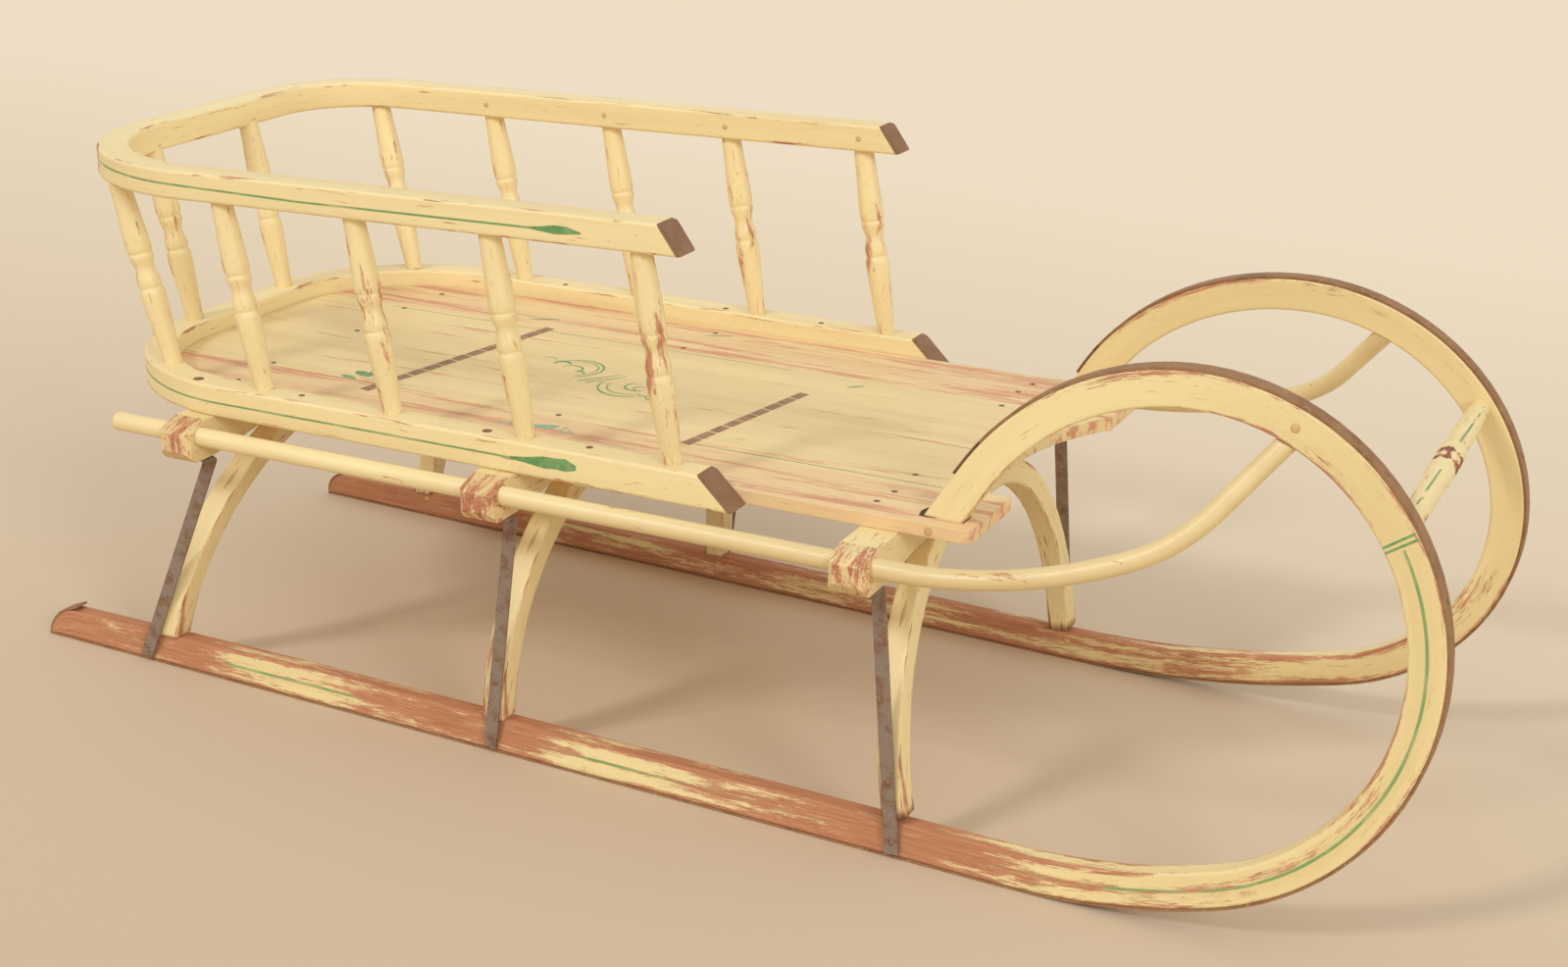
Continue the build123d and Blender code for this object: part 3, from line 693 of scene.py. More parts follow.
# The same paint rubbed thin on the side planks, where it lets the pink primer through
thin_paint = old_paint(
    "thin_cream_paint_on_side_plank", "#EED29C", "#E6C291", "#E2AE8A", "#DDA682", "#C8906E",
    (110.0, 3.0, 3.0), source="Object", craze=0.08, chips=0.62, patch=(1.0, 0.5), speckle=0.26,
)
planks = {
    "deck_centre": (plank_paint, 0.10), "deck_side_left": (thin_paint, 0.38),
    "deck_side_right": (thin_paint, 0.30),
}
for node, (paint, wear) in planks.items():
    def plank_zone(middle, normal, wear=wear):
        if normal.z > 0.7:
            return wear
        return plank_end_wear if abs(normal.x) > 0.5 else plank_side_wear

    plank = eased(node, f"plank_{node}", plank_ease, wear, plank_edge_wear, [paint], plank_zone)
    keep(plank, node)

# Rails
# Two bent ash rails, the lower one let round the deck, the upper one carried by the spindles.
# Their raked front ends are painted brown, and a green line runs along the near side.
rail_edge_wear = 0.20
rail_ease = 2.4
end_step = 4.0
end_shrink = 0.946
rail_wear = 0.03
splice_wear = 0.8
splice_place = (-697, -207)
splice_spread = 260

# Cream oil paint on a bent rail, kept whole between the edges, with a thin green line
rail_paint = old_paint(
    "cream_paint_on_bent_rail", "#F4E1AA", "#E9D39A", "#D0956C", "#C48A62", "#96634A",
    (70.0, 4.0, 4.0), rule="#6A9655", rule_half=1.1, craze=0.2, chips=0.66, patch=(2.4, 1.0),
)
# Brown oil paint on the sawn end, thinner over the grain
end_paint = old_paint(
    "brown_paint_on_sawn_end", "#966E4E", "#84603F", "#7A5238", "#A9805C", "#6B4830",
    (9.0, 4.0, 4.0), craze=0.3, polish=0.6,
)
# Each rail: middle is half the width to its middle line, left and right are its corner radii, and
# line_level is the green line's height over the rail's middle at places along it
rails = {
    "lower_rail": dict(
        name="bent_lower_rail", middle=259.24, rear=-682.8, left=181.8, right=181.8, front=92.0,
        width=33.0, height=33.0, rake=46.0, base=deck_bottom, place=seat, line_end=-112.0,
        line_level=((-700, 1.0), (-540, -1.0), (-112, 0.0)),
    ),
    "upper_rail": dict(
        name="bent_upper_rail", middle=260.14, rear=-730.0, left=110.0, right=190.0, front=31.3,
        width=33.5, height=29.5, rake=34.8, base=541.8,
        place=seat @ about(-math.radians(1.28), "Y", -340.0, 541.8)
        @ about(math.radians(0.57), "Z", -340.0, 0), line_end=-100.0,
        line_level=((-700, 3.4), (-500, -0.4), (-390, -2.6), (-100, -1.6)),
    ),
}
for node, rail in rails.items():
    half = rail["width"] / 2
    outer = rail["middle"] + half
    rear = rail["rear"] - half
    left, right = rail["left"] + half, rail["right"] + half
    line, length = trace([
        ("line", (rail["front"], outer), (rear + left, outer)),
        ("arc", (rear + left, outer - left), left, 90, 180),
        ("line", (rear, outer - left), (rear, right - outer)),
        ("arc", (rear + right, right - outer), right, 180, 270),
        ("line", (rear + right, -outer), (rail["front"], -outer)),
    ], ring_spacing)
    slope = math.tan(math.radians(rail["rake"]))
    reach = rail["height"] * slope + 2 * end_step
    inside = (length > reach) & (length < length[-1] - reach)
    ends = [0, 1, *(np.flatnonzero(inside) + 2), len(line) + 2, len(line) + 3]
    line = np.vstack([line[0], line[0], line, line[-1], line[-1]])
    length = np.concatenate([[length[0], length[0] + end_step], length, [length[-1] - end_step, length[-1]]])
    line, length = line[ends], length[ends]
    outline, around = bar_section(rail["width"], rail["height"], rail_ease, rail_edge_wear)
    a, b, edge = outline.T
    x = line[:, 0:1] + line[:, 2:3] * a[None, :]
    y = line[:, 1:2] + line[:, 3:4] * a[None, :]
    z = np.repeat(b[None, :] + rail["height"] / 2, len(line), 0)
    for ring, shrink, back in (
        (0, end_shrink, 0), (1, 1.0, end_step), (-2, 1.0, end_step), (-1, end_shrink, 0),
    ):
        middle_y = y[ring].mean()
        y[ring] = middle_y + (y[ring] - middle_y) * shrink
        z[ring] = rail["height"] / 2 + (z[ring] - rail["height"] / 2) * shrink
        x[ring] = rail["front"] - back - z[ring] * slope
    rings = placed(np.stack([x, y, z + rail["base"]], -1), rail["place"])
    bare = rail_wear + edge[None, :] + 0 * length[:, None]
    side_x = line[:, 0:1]
    painted = (a[None, :] < 0.5) & (line[:, 1:2] < -110) & (side_x < rail["line_end"])
    stripe = np.interp(side_x, *zip(*rail["line_level"]))
    rule = np.where(painted, b[None, :] - stripe, no_line)
    if node == "upper_rail":
        away = (side_x - splice_place[0]) ** 2 + (line[:, 1:2] - splice_place[1]) ** 2
        bare = bare + splice_wear * np.exp(-away / splice_spread) * (a < 6)[None, :]
    piece = skin(rail["name"], rings, length, around, bare, rule, [rail_paint, end_paint], (1, 1))
    walls, loop = (len(rings) - 1) * len(outline), len(outline)
    for face in piece.data.polygons:
        if face.index < loop or walls - loop <= face.index < walls:
            face.material_index = 1
    keep(piece, node)

# Spindles
# Twelve turned spindles, tenoned into both rails: a swelling shaft, a groove and two small
# beads round a waist. The paint has crazed lengthwise down to the primer.

# Crazed cream paint on turned wood: long fine cracks that show salmon
spindle_paint = old_paint(
    "crazed_cream_paint_on_turning", "#F3E0A8", "#E8D199", "#D59A74", "#CE8E69", "#B67B5A",
    (24.0, 2.4, 2.4), craze=0.4, chips=0.64, patch=(1.3, 0.6), speckle=0.30,
)
# Radii at shares of the height
spindle_turning = (
    (0.0, 9.4), (0.05, 9.8), (0.15, 11.0), (0.26, 12.4), (0.34, 13.3), (0.385, 13.5),
    (0.405, 13.0), (0.415, 12.0), (0.422, 11.3), (0.429, 11.9), (0.440, 12.4), (0.462, 12.4),
    (0.485, 11.6), (0.510, 10.3), (0.530, 10.0), (0.550, 10.6), (0.572, 12.0), (0.588, 12.8),
    (0.600, 12.9), (0.608, 12.3), (0.614, 11.9), (0.620, 12.4), (0.632, 13.2), (0.66, 13.5),
    (0.72, 13.2), (0.82, 12.2), (0.92, 11.3), (1.0, 10.8),
)
spindle_sides = 20
waist = 0.52
waist_spread = 0.2
foot_spread = 0.04
end_cover = 5.0
end_radii = (9.4, 10.7)
ridge_radius = 11.5
grain_shift = 37.0
tenon_length = 10.0
probe = 4.0
rows = ("side_1", "side_2", "side_3", "side_4", "corner", "back")
spindle_wear = {
    "side_1_right": 0.30, "side_3_right": 0.22, "side_2_left": 0.22, "side_1_left": 0.18,
    "corner_left": 0.14, "back_right": 0.12,
}
for row in rows:
    for side_name in runner_bends:
        node = f"spindle_{row}_{side_name}"
        shape = np.array([v.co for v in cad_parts[node].data.vertices]) / mm
        low = shape[shape[:, 2] < shape[:, 2].min() + probe]
        high = shape[shape[:, 2] > shape[:, 2].max() - probe]
        foot = (low.min(0) + low.max(0)) / 2
        head = (high.min(0) + high.max(0)) / 2
        axis = (head - foot) / np.linalg.norm(head - foot)
        foot = foot + axis * tenon_length
        height = np.linalg.norm(head - foot) - tenon_length
        cross = np.cross(axis, (1.0, 0, 0))
        cross /= np.linalg.norm(cross)
        third = np.cross(axis, cross)
        cover = end_cover / height
        levels = [(-cover, end_radii[0]), *spindle_turning, (1 + cover, end_radii[1])]
        shares, radii = np.array(levels).T
        angles = np.linspace(0, 2 * math.pi, spindle_sides, endpoint=False)
        rings = np.array([[
            foot + axis * share * height + r * (cross * math.cos(t) + third * math.sin(t))
            for t in angles] for share, r in levels])
        length = shares * height + grain_shift * (rows.index(row) + 1)
        around = np.linspace(0, 2 * math.pi * ridge_radius, spindle_sides + 1)
        ridge = np.clip((radii - ridge_radius) / 2, 0, 1)
        band = np.exp(-((shares - waist) / waist_spread) ** 2)
        wear = spindle_wear.get(f"{row}_{side_name}", 0.03)
        ring_wear = 0.04 + wear * (0.35 + band) + 0.08 * band * ridge
        ring_wear = ring_wear + 0.12 * np.exp(-shares / foot_spread)
        bare = ring_wear[:, None] + 0 * angles[None, :]
        rule = np.full(bare.shape, no_line)
        turned = skin(
            f"turned_{row}_{side_name}", rings, length, around, bare, rule, [spindle_paint]
        )
        keep(turned, node)

# Front bar
# A turned bar between the scrolls, thicker in the middle. The tow rope has rubbed two brown rings
# there, with a fainter stain between them.
rope_mark = 12.0
rope_width = 7.0
rope_stain = 24.0
slice_step = 4
bar_ease = 0.5
bar_edge_wear = 0.2

# Cream paint worn to oiled brown wood by the rope
bar_paint = old_paint(
    "rope_worn_paint_on_bar", "#F0DCA4", "#E2CA92", "#B97B58", "#9A6A4C", "#6E4631",
    (8.0, 50.0, 8.0), source="Object", craze=0.25, polish=0.42,
)


def bar_wear(middle, normal):
    """Two rubbed rings and the stain between them."""
    rings = sum(math.exp(-((middle.y + mark) / rope_width) ** 2) for mark in (rope_mark, -rope_mark))
    return 0.06 + 0.22 * math.exp(-(middle.y / rope_stain) ** 2) + 0.42 * rings


bar = eased(
    "front_bar", "turned_front_bar", bar_ease, 0, bar_edge_wear, [bar_paint], bar_wear,
    range(-12 * slice_step, 12 * slice_step + 1, slice_step),
)
keep(bar, "front_bar")

# Painted ornament
# A painter's brush lines in green and brown: spearheads at the ends of the rail lines, cross
# lines on the scrolls, scrolls of foliage and leaves on the middle plank, and green seam lines.
stroke_root = 0.3
stroke_top = 0.2
curl_steps = 10
cross_margin = 1.5


def two_tone(name, one, two, scale, rough):
    """A matt coat that varies between two colours; scale is one cloud in millimetres."""
    material, tree = blank_material(name)
    place = add(tree, "ShaderNodeTexCoord", out="Object")
    cloud = add(tree, "ShaderNodeTexNoise", {
        "Vector": place, "Scale": 1 / (scale * mm), "Detail": 5.0, "Roughness": 0.6,
    })
    share = add(tree, "ShaderNodeMapRange", {"Value": cloud, "From Min": 0.38, "From Max": 0.62})
    colour = add(tree, "ShaderNodeMix", {
        "Factor": share, 6: linear(one), 7: linear(two),
    }, out=2, data_type="RGBA")
    shader = add(tree, "ShaderNodeBsdfPrincipled", {"Base Color": colour, "Roughness": rough})
    add(tree, "ShaderNodeOutputMaterial", {"Surface": shader})
    return material


def strips(name, rows, surface, material):
    """Brush strokes as thin closed strips; each row holds (u, v, half width) on the surface."""
    corners, faces = [], []
    for row in rows:
        line = np.array(row, float)
        along = np.gradient(line[:, :2], axis=0)
        along /= np.linalg.norm(along, axis=1)[:, None]
        left = np.column_stack([-along[:, 1], along[:, 0]]) * line[:, 2:3]
        start = len(corners)
        for middle, offset in zip(line[:, :2], left):
            for side, lift in ((1, -stroke_root), (-1, -stroke_root), (-1, stroke_top), (1, stroke_top)):
                corners.append(Vector(surface(*(middle + side * offset), lift)) * mm)
        for i in range(start, start + 4 * (len(line) - 1), 4):
            for j in range(4):
                k = (j + 1) % 4
                faces.append((i + j, i + k, i + 4 + k, i + 4 + j))
        faces.append(tuple(start + j for j in (3, 2, 1, 0)))
        faces.append(tuple(start + 4 * (len(line) - 1) + j for j in range(4)))
    mesh = bpy.data.meshes.new(name)
    mesh.from_pydata(corners, [], faces)
    shell = bmesh.new()
    shell.from_mesh(mesh)
    bmesh.ops.recalc_face_normals(shell, faces=shell.faces)
    shell.to_mesh(mesh)
    shell.free()
    mesh.materials.append(material)
    piece = stand(name, mesh)
    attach(piece, "root")


def on_deck(x, y, lift):
    """A point lift millimetres above the deck."""
    return seat @ Vector((x, y, deck_top + lift))


def on_rail(node):
    """Gives points on a rail's near outer face."""
    rail = rails[node]
    outer = rail["middle"] + rail["width"] / 2
    return lambda x, z, lift: rail["place"] @ Vector((x, -outer - lift, z))


def curl(x, y, radius, start, stop, half, stretch=1.0):
    """A brush stroke along an arc, thin at both ends."""
    return [(
        x + stretch * radius * math.cos(t), y + radius * math.sin(t),
        half * (0.35 + 0.65 * math.sin(math.pi * k / curl_steps)),
    ) for k, t in enumerate(np.radians(np.linspace(start, stop, curl_steps + 1)))]


# Green oil paint, thin enough for the cream to show through in places
green_paint = two_tone("thin_green_line_paint", "#5E9355", "#83A66C", 9.0, 0.5)
# Blue-green paint of the small triangles, chalky
teal_paint = two_tone("chalky_teal_paint", "#7DAE92", "#A8C0A0", 7.0, 0.7)
strips("lower_rail_spearhead", [[
    (-150, 328.5, 1.2), (-132, 328.8, 3.0), (-112, 329.6, 6.0), (-98, 330.4, 5.6),
    (-88, 330.6, 6.4), (-76, 329.5, 2.6),
]], on_rail("lower_rail"), green_paint)
strips("upper_rail_spearhead", [[
    (-126, 554.9, 1.0), (-114, 555.0, 2.4), (-101, 555.4, 4.2), (-88, 555.8, 3.8),
    (-72, 554.6, 0.8),
]], on_rail("upper_rail"), green_paint)
strips("foliage_scrolls", [
    curl(-246, 18, 30, 150, -66, 1.3), curl(-246, 18, 24, 130, -60, 0.9),
    curl(-250, 12, 13, 160, -40, 1.3), curl(-268, 24, 9, 200, 20, 2.6),
    curl(-238, 0, 10, 120, 10, 1.2), curl(-290, 30, 10, 140, 40, 0.8),
    curl(-164, -16, 32, 172, 318, 1.3), curl(-162, -14, 25, 170, 310, 0.9),
    curl(-156, -10, 13, 120, 330, 1.2), curl(-150, -14, 7, 60, 300, 0.9),
    [(-222, -20, 1.0), (-204, 2, 0.9), (-192, 22, 0.4)],
    [(-212, -22, 0.9), (-194, 2, 0.8), (-184, 18, 0.4)],
    curl(-136, -26, 9, 200, 340, 1.1), curl(-122, -34, 9, 190, 330, 1.1),
], on_deck, green_paint)
strips("three_leaves", [
    [(-452, -128, 0.6), (-446, -129, 4.0), (-438, -131, 4.4), (-430, -134, 0.6)],
    [(-446, -108, 1.0), (-440, -111, 6.4), (-430, -115, 6.8), (-423, -119, 1.6)],
    [(-432, -104, 0.6), (-425, -108, 4.4), (-418, -112, 4.4), (-412, -117, 0.6)],
    [(-392, 160, 0.8), (-382, 163, 2.2), (-372, 170, 2.0), (-360, 173, 0.6)],
    [(-183, 201, 0.6), (-172, 205, 1.6), (-156, 212, 0.6)],
    [(40, 101, 0.8), (46, 106, 2.4), (54, 113, 0.5)],
], on_deck, green_paint)
strips("teal_triangles", [
    [(-226, -183, 0.8), (-196, -178, 3.2), (-166, -170, 6.0), (-160, -164, 1.0)],
    [(-153, -184, 0.7), (-153, -164, 0.7)], [(-153, -164, 0.7), (-134, -180, 0.7)],
    [(-149, -181, 2.6), (-144, -178, 1.6)],
], on_deck, teal_paint)
strips("green_seam_lines", [
    [(-40, -147, 0.5), (60, -146, 0.6), (180, -145, 0.6), (250, -145, 0.5)],
    [(-560, 128, 0.4), (-300, 128, 0.5), (-40, 128, 0.4)],
], on_deck, green_paint)
for name, bend in runner_bends.items():
    outer_face = runner_thickness / 2
    rim = bend["radius"] - shoe_depth
    crossing = [[
        (*on_scroll(bend, rim - depth, turn), 1.1)
        for depth in (cross_margin, runner_depth - cross_margin)
    ] for turn in cross_lines]
    strips(
        f"cross_lines_{name}", crossing,
        lambda x, v, lift, bend=bend: runner_face(bend, x, v, outer_face + lift), green_paint,
    )

band_sink = 0.05
# Brown oil paint of the two cross bands
band_paint = two_tone("matt_brown_band_paint", "#8F6A4C", "#A4815F", 12.0, 0.6)
dash_tree = bpy.data.node_groups.new("broken_band", "GeometryNodeTree")
for label, kind in (
    ("Start", "NodeSocketVector"), ("End", "NodeSocketVector"), ("Count", "NodeSocketInt"),
    ("Width", "NodeSocketFloat"), ("Reach", "NodeSocketFloat"), ("Coat", "NodeSocketMaterial"),
):
    dash_tree.interface.new_socket(label, in_out="INPUT", socket_type=kind)
dash_tree.interface.new_socket("Geometry", in_out="OUTPUT", socket_type="NodeSocketGeometry")
given = add(dash_tree, "NodeGroupInput").node.outputs
walk = add(dash_tree, "GeometryNodeCurvePrimitiveLine", {"Start": given["Start"], "End": given["End"]})
stops = add(dash_tree, "GeometryNodeResampleCurve", {"Curve": walk, "Count": given["Count"]})
spots = add(dash_tree, "GeometryNodeCurveToPoints", {"Curve": stops, "Count": given["Count"]})
size = add(dash_tree, "ShaderNodeCombineXYZ", {0: given["Reach"], 1: given["Width"], 2: 0.5 * mm})
dash = add(dash_tree, "GeometryNodeMeshCube", {"Size": size})
vary = add(dash_tree, "FunctionNodeRandomValue", {2: 0.86, 3: 0.96, "Seed": 7}, out=1)
stretch = add(dash_tree, "ShaderNodeCombineXYZ", {0: vary, 1: 1.0, 2: 1.0})
facing = add(dash_tree, "FunctionNodeAlignRotationToVector", {
    "Vector": spots.node.outputs["Tangent"],
}, axis="X")
laid = add(dash_tree, "GeometryNodeInstanceOnPoints", {
    "Points": spots, "Instance": dash, "Rotation": facing, "Scale": stretch,
})
real = add(dash_tree, "GeometryNodeRealizeInstances", {0: laid})
coated = add(dash_tree, "GeometryNodeSetMaterial", {"Geometry": real, "Material": given["Coat"]})
add(dash_tree, "NodeGroupOutput", {0: coated})


def grown(name, tree, values, mesh=None):
    """Runs a node tree on an empty or given mesh and keeps the plain mesh."""
    piece = stand(name, mesh or bpy.data.meshes.new(name))
    modifier = piece.modifiers.new("grow", "NODES")
    modifier.node_group = tree
    for item in tree.interface.items_tree:
        if item.in_out == "INPUT" and item.name in values:
            modifier[item.identifier] = values[item.name]
    evaluated = piece.evaluated_get(bpy.context.evaluated_depsgraph_get())
    piece.data = bpy.data.meshes.new_from_object(evaluated)
    piece.modifiers.clear()
    return piece


for name, start, end, count, width in (
    ("rear_brown_band", (-401, -161), (-351, 139), 13, 12.5),
    ("front_brown_band", (-24, -152), (10, 60), 9, 11.5),
):
    reach = math.dist(start, end) / count
    first, last = (Vector((*place, deck_top - band_sink)) for place in (start, end))
    inset = (last - first) * 0.5 / count
    band = grown(name, dash_tree, {
        "Start": (first + inset) * mm, "End": (last - inset) * mm,
        "Count": count, "Width": width * mm, "Reach": reach * mm, "Coat": band_paint,
    })
    pitch = seat.copy()
    pitch.translation = seat.translation * mm
    band.data.transform(pitch)
    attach(band, "root")

# Nails, pegs and gaps
# Hand-made nail heads hold the planks and straps, wooden pegs close the spindle and pole joints, and a dark
# strip of painted shade marks the gap where each runner's tail drops through its mortise.
head_tree = bpy.data.node_groups.new("round_heads", "GeometryNodeTree")
for label, kind in (
    ("Geometry", "NodeSocketGeometry"), ("Height", "NodeSocketFloat"), ("Coat", "NodeSocketMaterial"),
):
    head_tree.interface.new_socket(label, in_out="INPUT", socket_type=kind)
head_tree.interface.new_socket("Geometry", in_out="OUTPUT", socket_type="NodeSocketGeometry")
given = add(head_tree, "NodeGroupInput").node.outputs
ball = add(head_tree, "GeometryNodeMeshUVSphere", {"Segments": 10, "Rings": 5, "Radius": 1.0})
squash = add(head_tree, "ShaderNodeCombineXYZ", {0: 1.0, 1: 1.0, 2: given["Height"]})
head = add(head_tree, "GeometryNodeTransform", {"Geometry": ball, "Scale": squash})
normal = add(head_tree, "GeometryNodeInputNamedAttribute", {"Name": "facing"}, data_type="FLOAT_VECTOR")
radius = add(head_tree, "GeometryNodeInputNamedAttribute", {"Name": "radius"}, data_type="FLOAT")
turned = add(head_tree, "FunctionNodeAlignRotationToVector", {"Vector": normal}, axis="Z")
driven = add(head_tree, "GeometryNodeInstanceOnPoints", {
    "Points": given["Geometry"], "Instance": head, "Rotation": turned, "Scale": radius,
})
real = add(head_tree, "GeometryNodeRealizeInstances", {0: driven})
coated = add(head_tree, "GeometryNodeSetMaterial", {"Geometry": real, "Material": given["Coat"]})
add(head_tree, "NodeGroupOutput", {0: coated})
trees = {}


def touch(node, start, aim):
    """Where a ray in millimetres first meets a CAD piece, and the normal there."""
    if node not in trees:
        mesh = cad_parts[node].data
        trees[node] = BVHTree.FromPolygons(
            [v.co / mm for v in mesh.vertices], [list(p.vertices) for p in mesh.polygons]
        )
    place, normal = trees[node].ray_cast(Vector(start), Vector(aim).normalized())[:2]
    return place, normal


def heads(name, spots, height, material):
    """Low round heads; each spot is (node, start of a ray, its direction, radius)."""
    found = [(*touch(node, start, aim), size) for node, start, aim, size in spots]
    found = [spot for spot in found if spot[0]]
    mesh = bpy.data.meshes.new(name)
    mesh.from_pydata([place * mm for place, normal, size in found], [], [])
    facing = mesh.attributes.new("facing", "FLOAT_VECTOR", "POINT")
    facing.data.foreach_set("vector", [c for place, normal, size in found for c in normal])
    sizes = mesh.attributes.new("radius", "FLOAT", "POINT")
    sizes.data.foreach_set("value", [size * mm for place, normal, size in found])
    piece = grown(name, head_tree, {"Height": height, "Coat": material}, mesh)
    piece.data.polygons.foreach_set("use_smooth", [True] * len(piece.data.polygons))
    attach(piece, "root")


# Rusted iron of the nail heads, uneven and dull
nail_iron = two_tone("rusted_nail_iron", "#7C5A45", "#94705A", 4.0, 0.8)
# Brown end grain of wooden plugs, dirty
plug_wood = two_tone("dirty_plug_end_grain", "#7C4A34", "#95644A", 3.0, 0.8)
# Wooden pegs under cream paint gone brown
peg_paint = two_tone("painted_peg_end", "#DDBB84", "#C79A6C", 3.0, 0.6)
down = (0, 0, -1)
above_seat = 400
beside_sled = 420
sides = {"left": 1, "right": -1}
centre_plank_half = 137
nail_radius = 3.4
strap_nail_radius = 3.2
shoe_nail_radius = 3.0
# Each row of nails: its place along the deck, and the places across it
deck_nails = []
for row, places in (
    (212.0, (211, 177, 123, -123, -177, -209)), (-176.0, (215, 144, -133, 60)),
    (-538.0, (200, 126, -128, -196, 20)),
):
    for k, y in enumerate(places):
        node = "deck_centre" if abs(y) < centre_plank_half else f"deck_side_{'left' if y > 0 else 'right'}"
        x = row + 4 * math.sin(5 * k)
        deck_nails.append((node, seat @ Vector((x, y, above_seat)), down, nail_radius))
heads("deck_nail_heads", deck_nails, 0.25, nail_iron)

strap_foot = 12
strap_rise = 262
strap_nails = []
for name, top, foot in (("rear", -514, -614), ("middle", -151, -174), ("front", 241, 272)):
    for side_name, side in sides.items():
        for z in (18, 80):
            x = foot + (top - foot) * (z - strap_foot) / strap_rise
            start = (x, side * beside_sled, z)
            strap_nails.append((f"brace_{name}_{side_name}", start, (0, -side, 0), strap_nail_radius))
heads("strap_nail_heads", strap_nails, 0.45, nail_iron)

outside_scroll = 300
shoe_nails = []
for name, bend in runner_bends.items():
    for turn in (48, 20, -30):
        start = runner_face(bend, *on_scroll(bend, outside_scroll, turn), 0)
        aim = runner_face(bend, scroll_x, bend["centre"], 0) - start
        shoe_nails.append((f"runner_shoe_{name}", start, aim, shoe_nail_radius))
heads("shoe_nail_heads", shoe_nails, 0.35, nail_iron)

# Each plug: places along and across the rail, and its radius
rail_plugs = []
for side_name, side, places in (
    ("right", -1, ((-534, 262, 6.0), (-408, 256, 3.6), (-184, 260, 5.4), (-72, 254, 4.0))),
    ("left", 1, ((-480, 256, 4.0), (-397, 252, 3.6), (-183, 254, 4.0), (-61, 254, 3.6))),
):
    for x, y, size in places:
        rail_plugs.append(("lower_rail", seat @ Vector((x, side * y, above_seat)), down, size))
heads("rail_plugs", rail_plugs, 0.14, plug_wood)

pole_end_turn = 68.2
beside_scroll = 60
beside_deck = 300
inside_sled = 200
pegs = []
for name, bend in runner_bends.items():
    side = bend["side"]
    reach = bend["radius"] - shoe_depth - runner_depth / 2
    start = runner_face(bend, *on_scroll(bend, reach, pole_end_turn), beside_scroll)
    pegs.append((f"runner_{name}", start, (0, -side, 0), 4.6))
    for x in (-18, -182, -337, -496):
        start = rails["upper_rail"]["place"] @ Vector((x, side * inside_sled, 556))
        pegs.append(("upper_rail", start, (0, side, 0), 3.4))
    for frame_name, beam_x, foot_x, set_back in frames:
        pegs.append((f"runner_{name}", (foot_x, side * inside_sled, 24), (0, side, 0), 3.6))
    start = seat @ Vector((276, side * beside_deck, 319))
    pegs.append((f"deck_side_{name}", start, (0, -side, 0), 4.4))
heads("joint_pegs", pegs, 0.16, peg_paint)

gap_probe = 8.0
behind_tail = 120
# Painted shade of the open joint, nearly black: a dark strip laid on the deck where the gap round the
# runner's tail lies in shadow
painted_gap_shade = two_tone("painted_shade_in_the_mortise", "#40301F", "#5E4630", 5.0, 0.95)
# Each gap is painted shade: a dark crescent behind the tail and thin dark lines along its sides
for name, bend in runner_bends.items():
    level = deck_top + gap_probe
    y = bend["side"] * (sole_half_track - level * math.tan(runner_lean))
    back = touch(f"runner_{name}", (behind_tail, y, level), (1, 0, 0))[0]
    x = back.x - 3.0
    half = runner_thickness / 2
    rows = [[(x, y - half - 1, 2.4), (x - 1.5, y, 3.0), (x, y + half + 1, 2.4)]]
    for side in (-1, 1):
        edge = y + side * half
        rows.append([
            (x - 2, edge + side * 0.6, 1.6), (x + 8, edge + side * 0.2, 0.8), (x + 18, edge, 0.1),
        ])
    strips(f"painted_mortise_gap_shade_{name}", rows, on_deck, painted_gap_shade)


def on_bar(y, turn, lift):
    """A point on the bar's upper front."""
    place, normal = touch("front_bar", (bar_line_x + turn, y, above_bar), (-0.3, 0, -0.95))
    return place + normal * lift


bar_line_x = 699
above_bar = 430
strips("bar_lines", [
    [(start, 0, 0.7), ((start + end) / 2, 0, 0.9), (end, 0, 0.6)]
    for start, end in ((-150, -48), (40, 150))
], on_bar, green_paint)
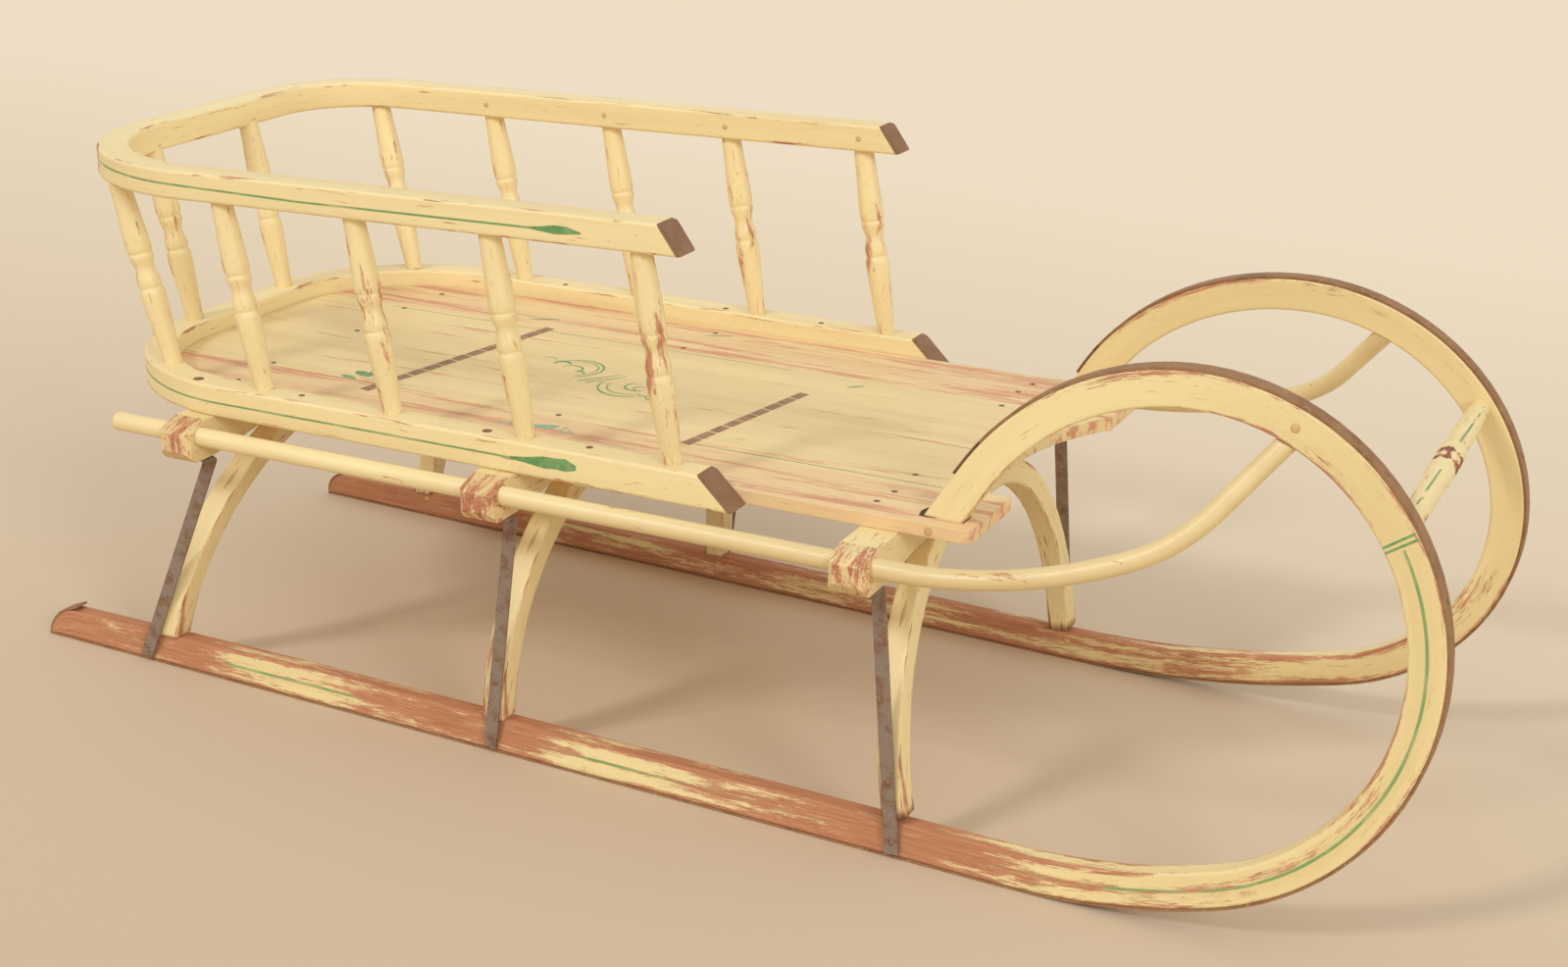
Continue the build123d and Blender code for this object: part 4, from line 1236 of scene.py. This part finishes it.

# Room
# A pale paper floor whose colour brightens away from the camera as painted light, soft daylight from two
# broad windows on the near left and the front right, and the photograph's camera.
floor_reach = 4000.0
floor_mesh = bpy.data.meshes.new("studio_floor")
floor_mesh.from_pydata([
    (x * floor_reach, y * floor_reach, 0) for x, y in ((-1, -1), (1, -1), (1, 1), (-1, 1))
], [], [(0, 1, 2, 3)])
floor = stand("studio_floor", floor_mesh)
# Matt paper with painted light: its colour pales away from the camera, standing in for the light falling off
# across the floor
floor_paper, floor_tree = blank_material("matt_paper_floor")
floor_place = add(floor_tree, "ShaderNodeTexCoord", out="Object")
floor_away = add(floor_tree, "ShaderNodeSeparateXYZ", {0: floor_place}, out="Y")
floor_painted_light_share = add(floor_tree, "ShaderNodeMapRange", {
    "Value": floor_away, "From Min": -1.2, "From Max": 2.4,
})
# Painted light: darker paper near the camera, lighter far from it
floor_colour = add(floor_tree, "ShaderNodeMix", {
    "Factor": floor_painted_light_share, 6: linear("#CDB69B"), 7: linear("#E9DCC6"),
}, out=2, data_type="RGBA")
floor_shader = add(floor_tree, "ShaderNodeBsdfPrincipled", {
    "Base Color": floor_colour, "Roughness": 0.9, "Specular IOR Level": 0.1,
})
add(floor_tree, "ShaderNodeOutputMaterial", {"Surface": floor_shader})
floor_mesh.materials.append(floor_paper)

world = bpy.data.worlds.new("studio_air")
bpy.context.scene.world = world
world.use_nodes = True
air = world.node_tree.nodes["Background"]
air.inputs["Color"].default_value = linear("#FFFBF4")
air.inputs["Strength"].default_value = 0.76

# Each lamp: name, where it stands from the sled, strength and width in degrees
lamps = (
    ("left_window", (-0.47, -0.88, 0.82), 0.82, 9.0),
    ("right_window", (1.6, -1.05, 1.0), 0.82, 20.0),
)
for name, place, power, spread in lamps:
    lamp = bpy.data.lights.new(name, "SUN")
    lamp.angle = math.radians(spread)
    lamp.energy = power
    stand(name, lamp).rotation_euler = Vector(place).to_track_quat("Z", "Y").to_euler()

camera_place = (1.0192, -2.1686, 1.1241)
camera_turn = (69.7611, -2.3461, 25.6695)
sensor_width = 36.0
photo_width = 1599
focal_pixels = 2467.0
camera_data = bpy.data.cameras.new("camera")
camera_data.sensor_fit = "HORIZONTAL"
camera_data.sensor_width = sensor_width
camera_data.lens = focal_pixels / photo_width * sensor_width
camera = stand("camera", camera_data)
camera.location = camera_place
camera.rotation_euler = [math.radians(angle) for angle in camera_turn]
bpy.context.scene.camera = camera
bpy.context.scene.view_settings.view_transform = "Standard"
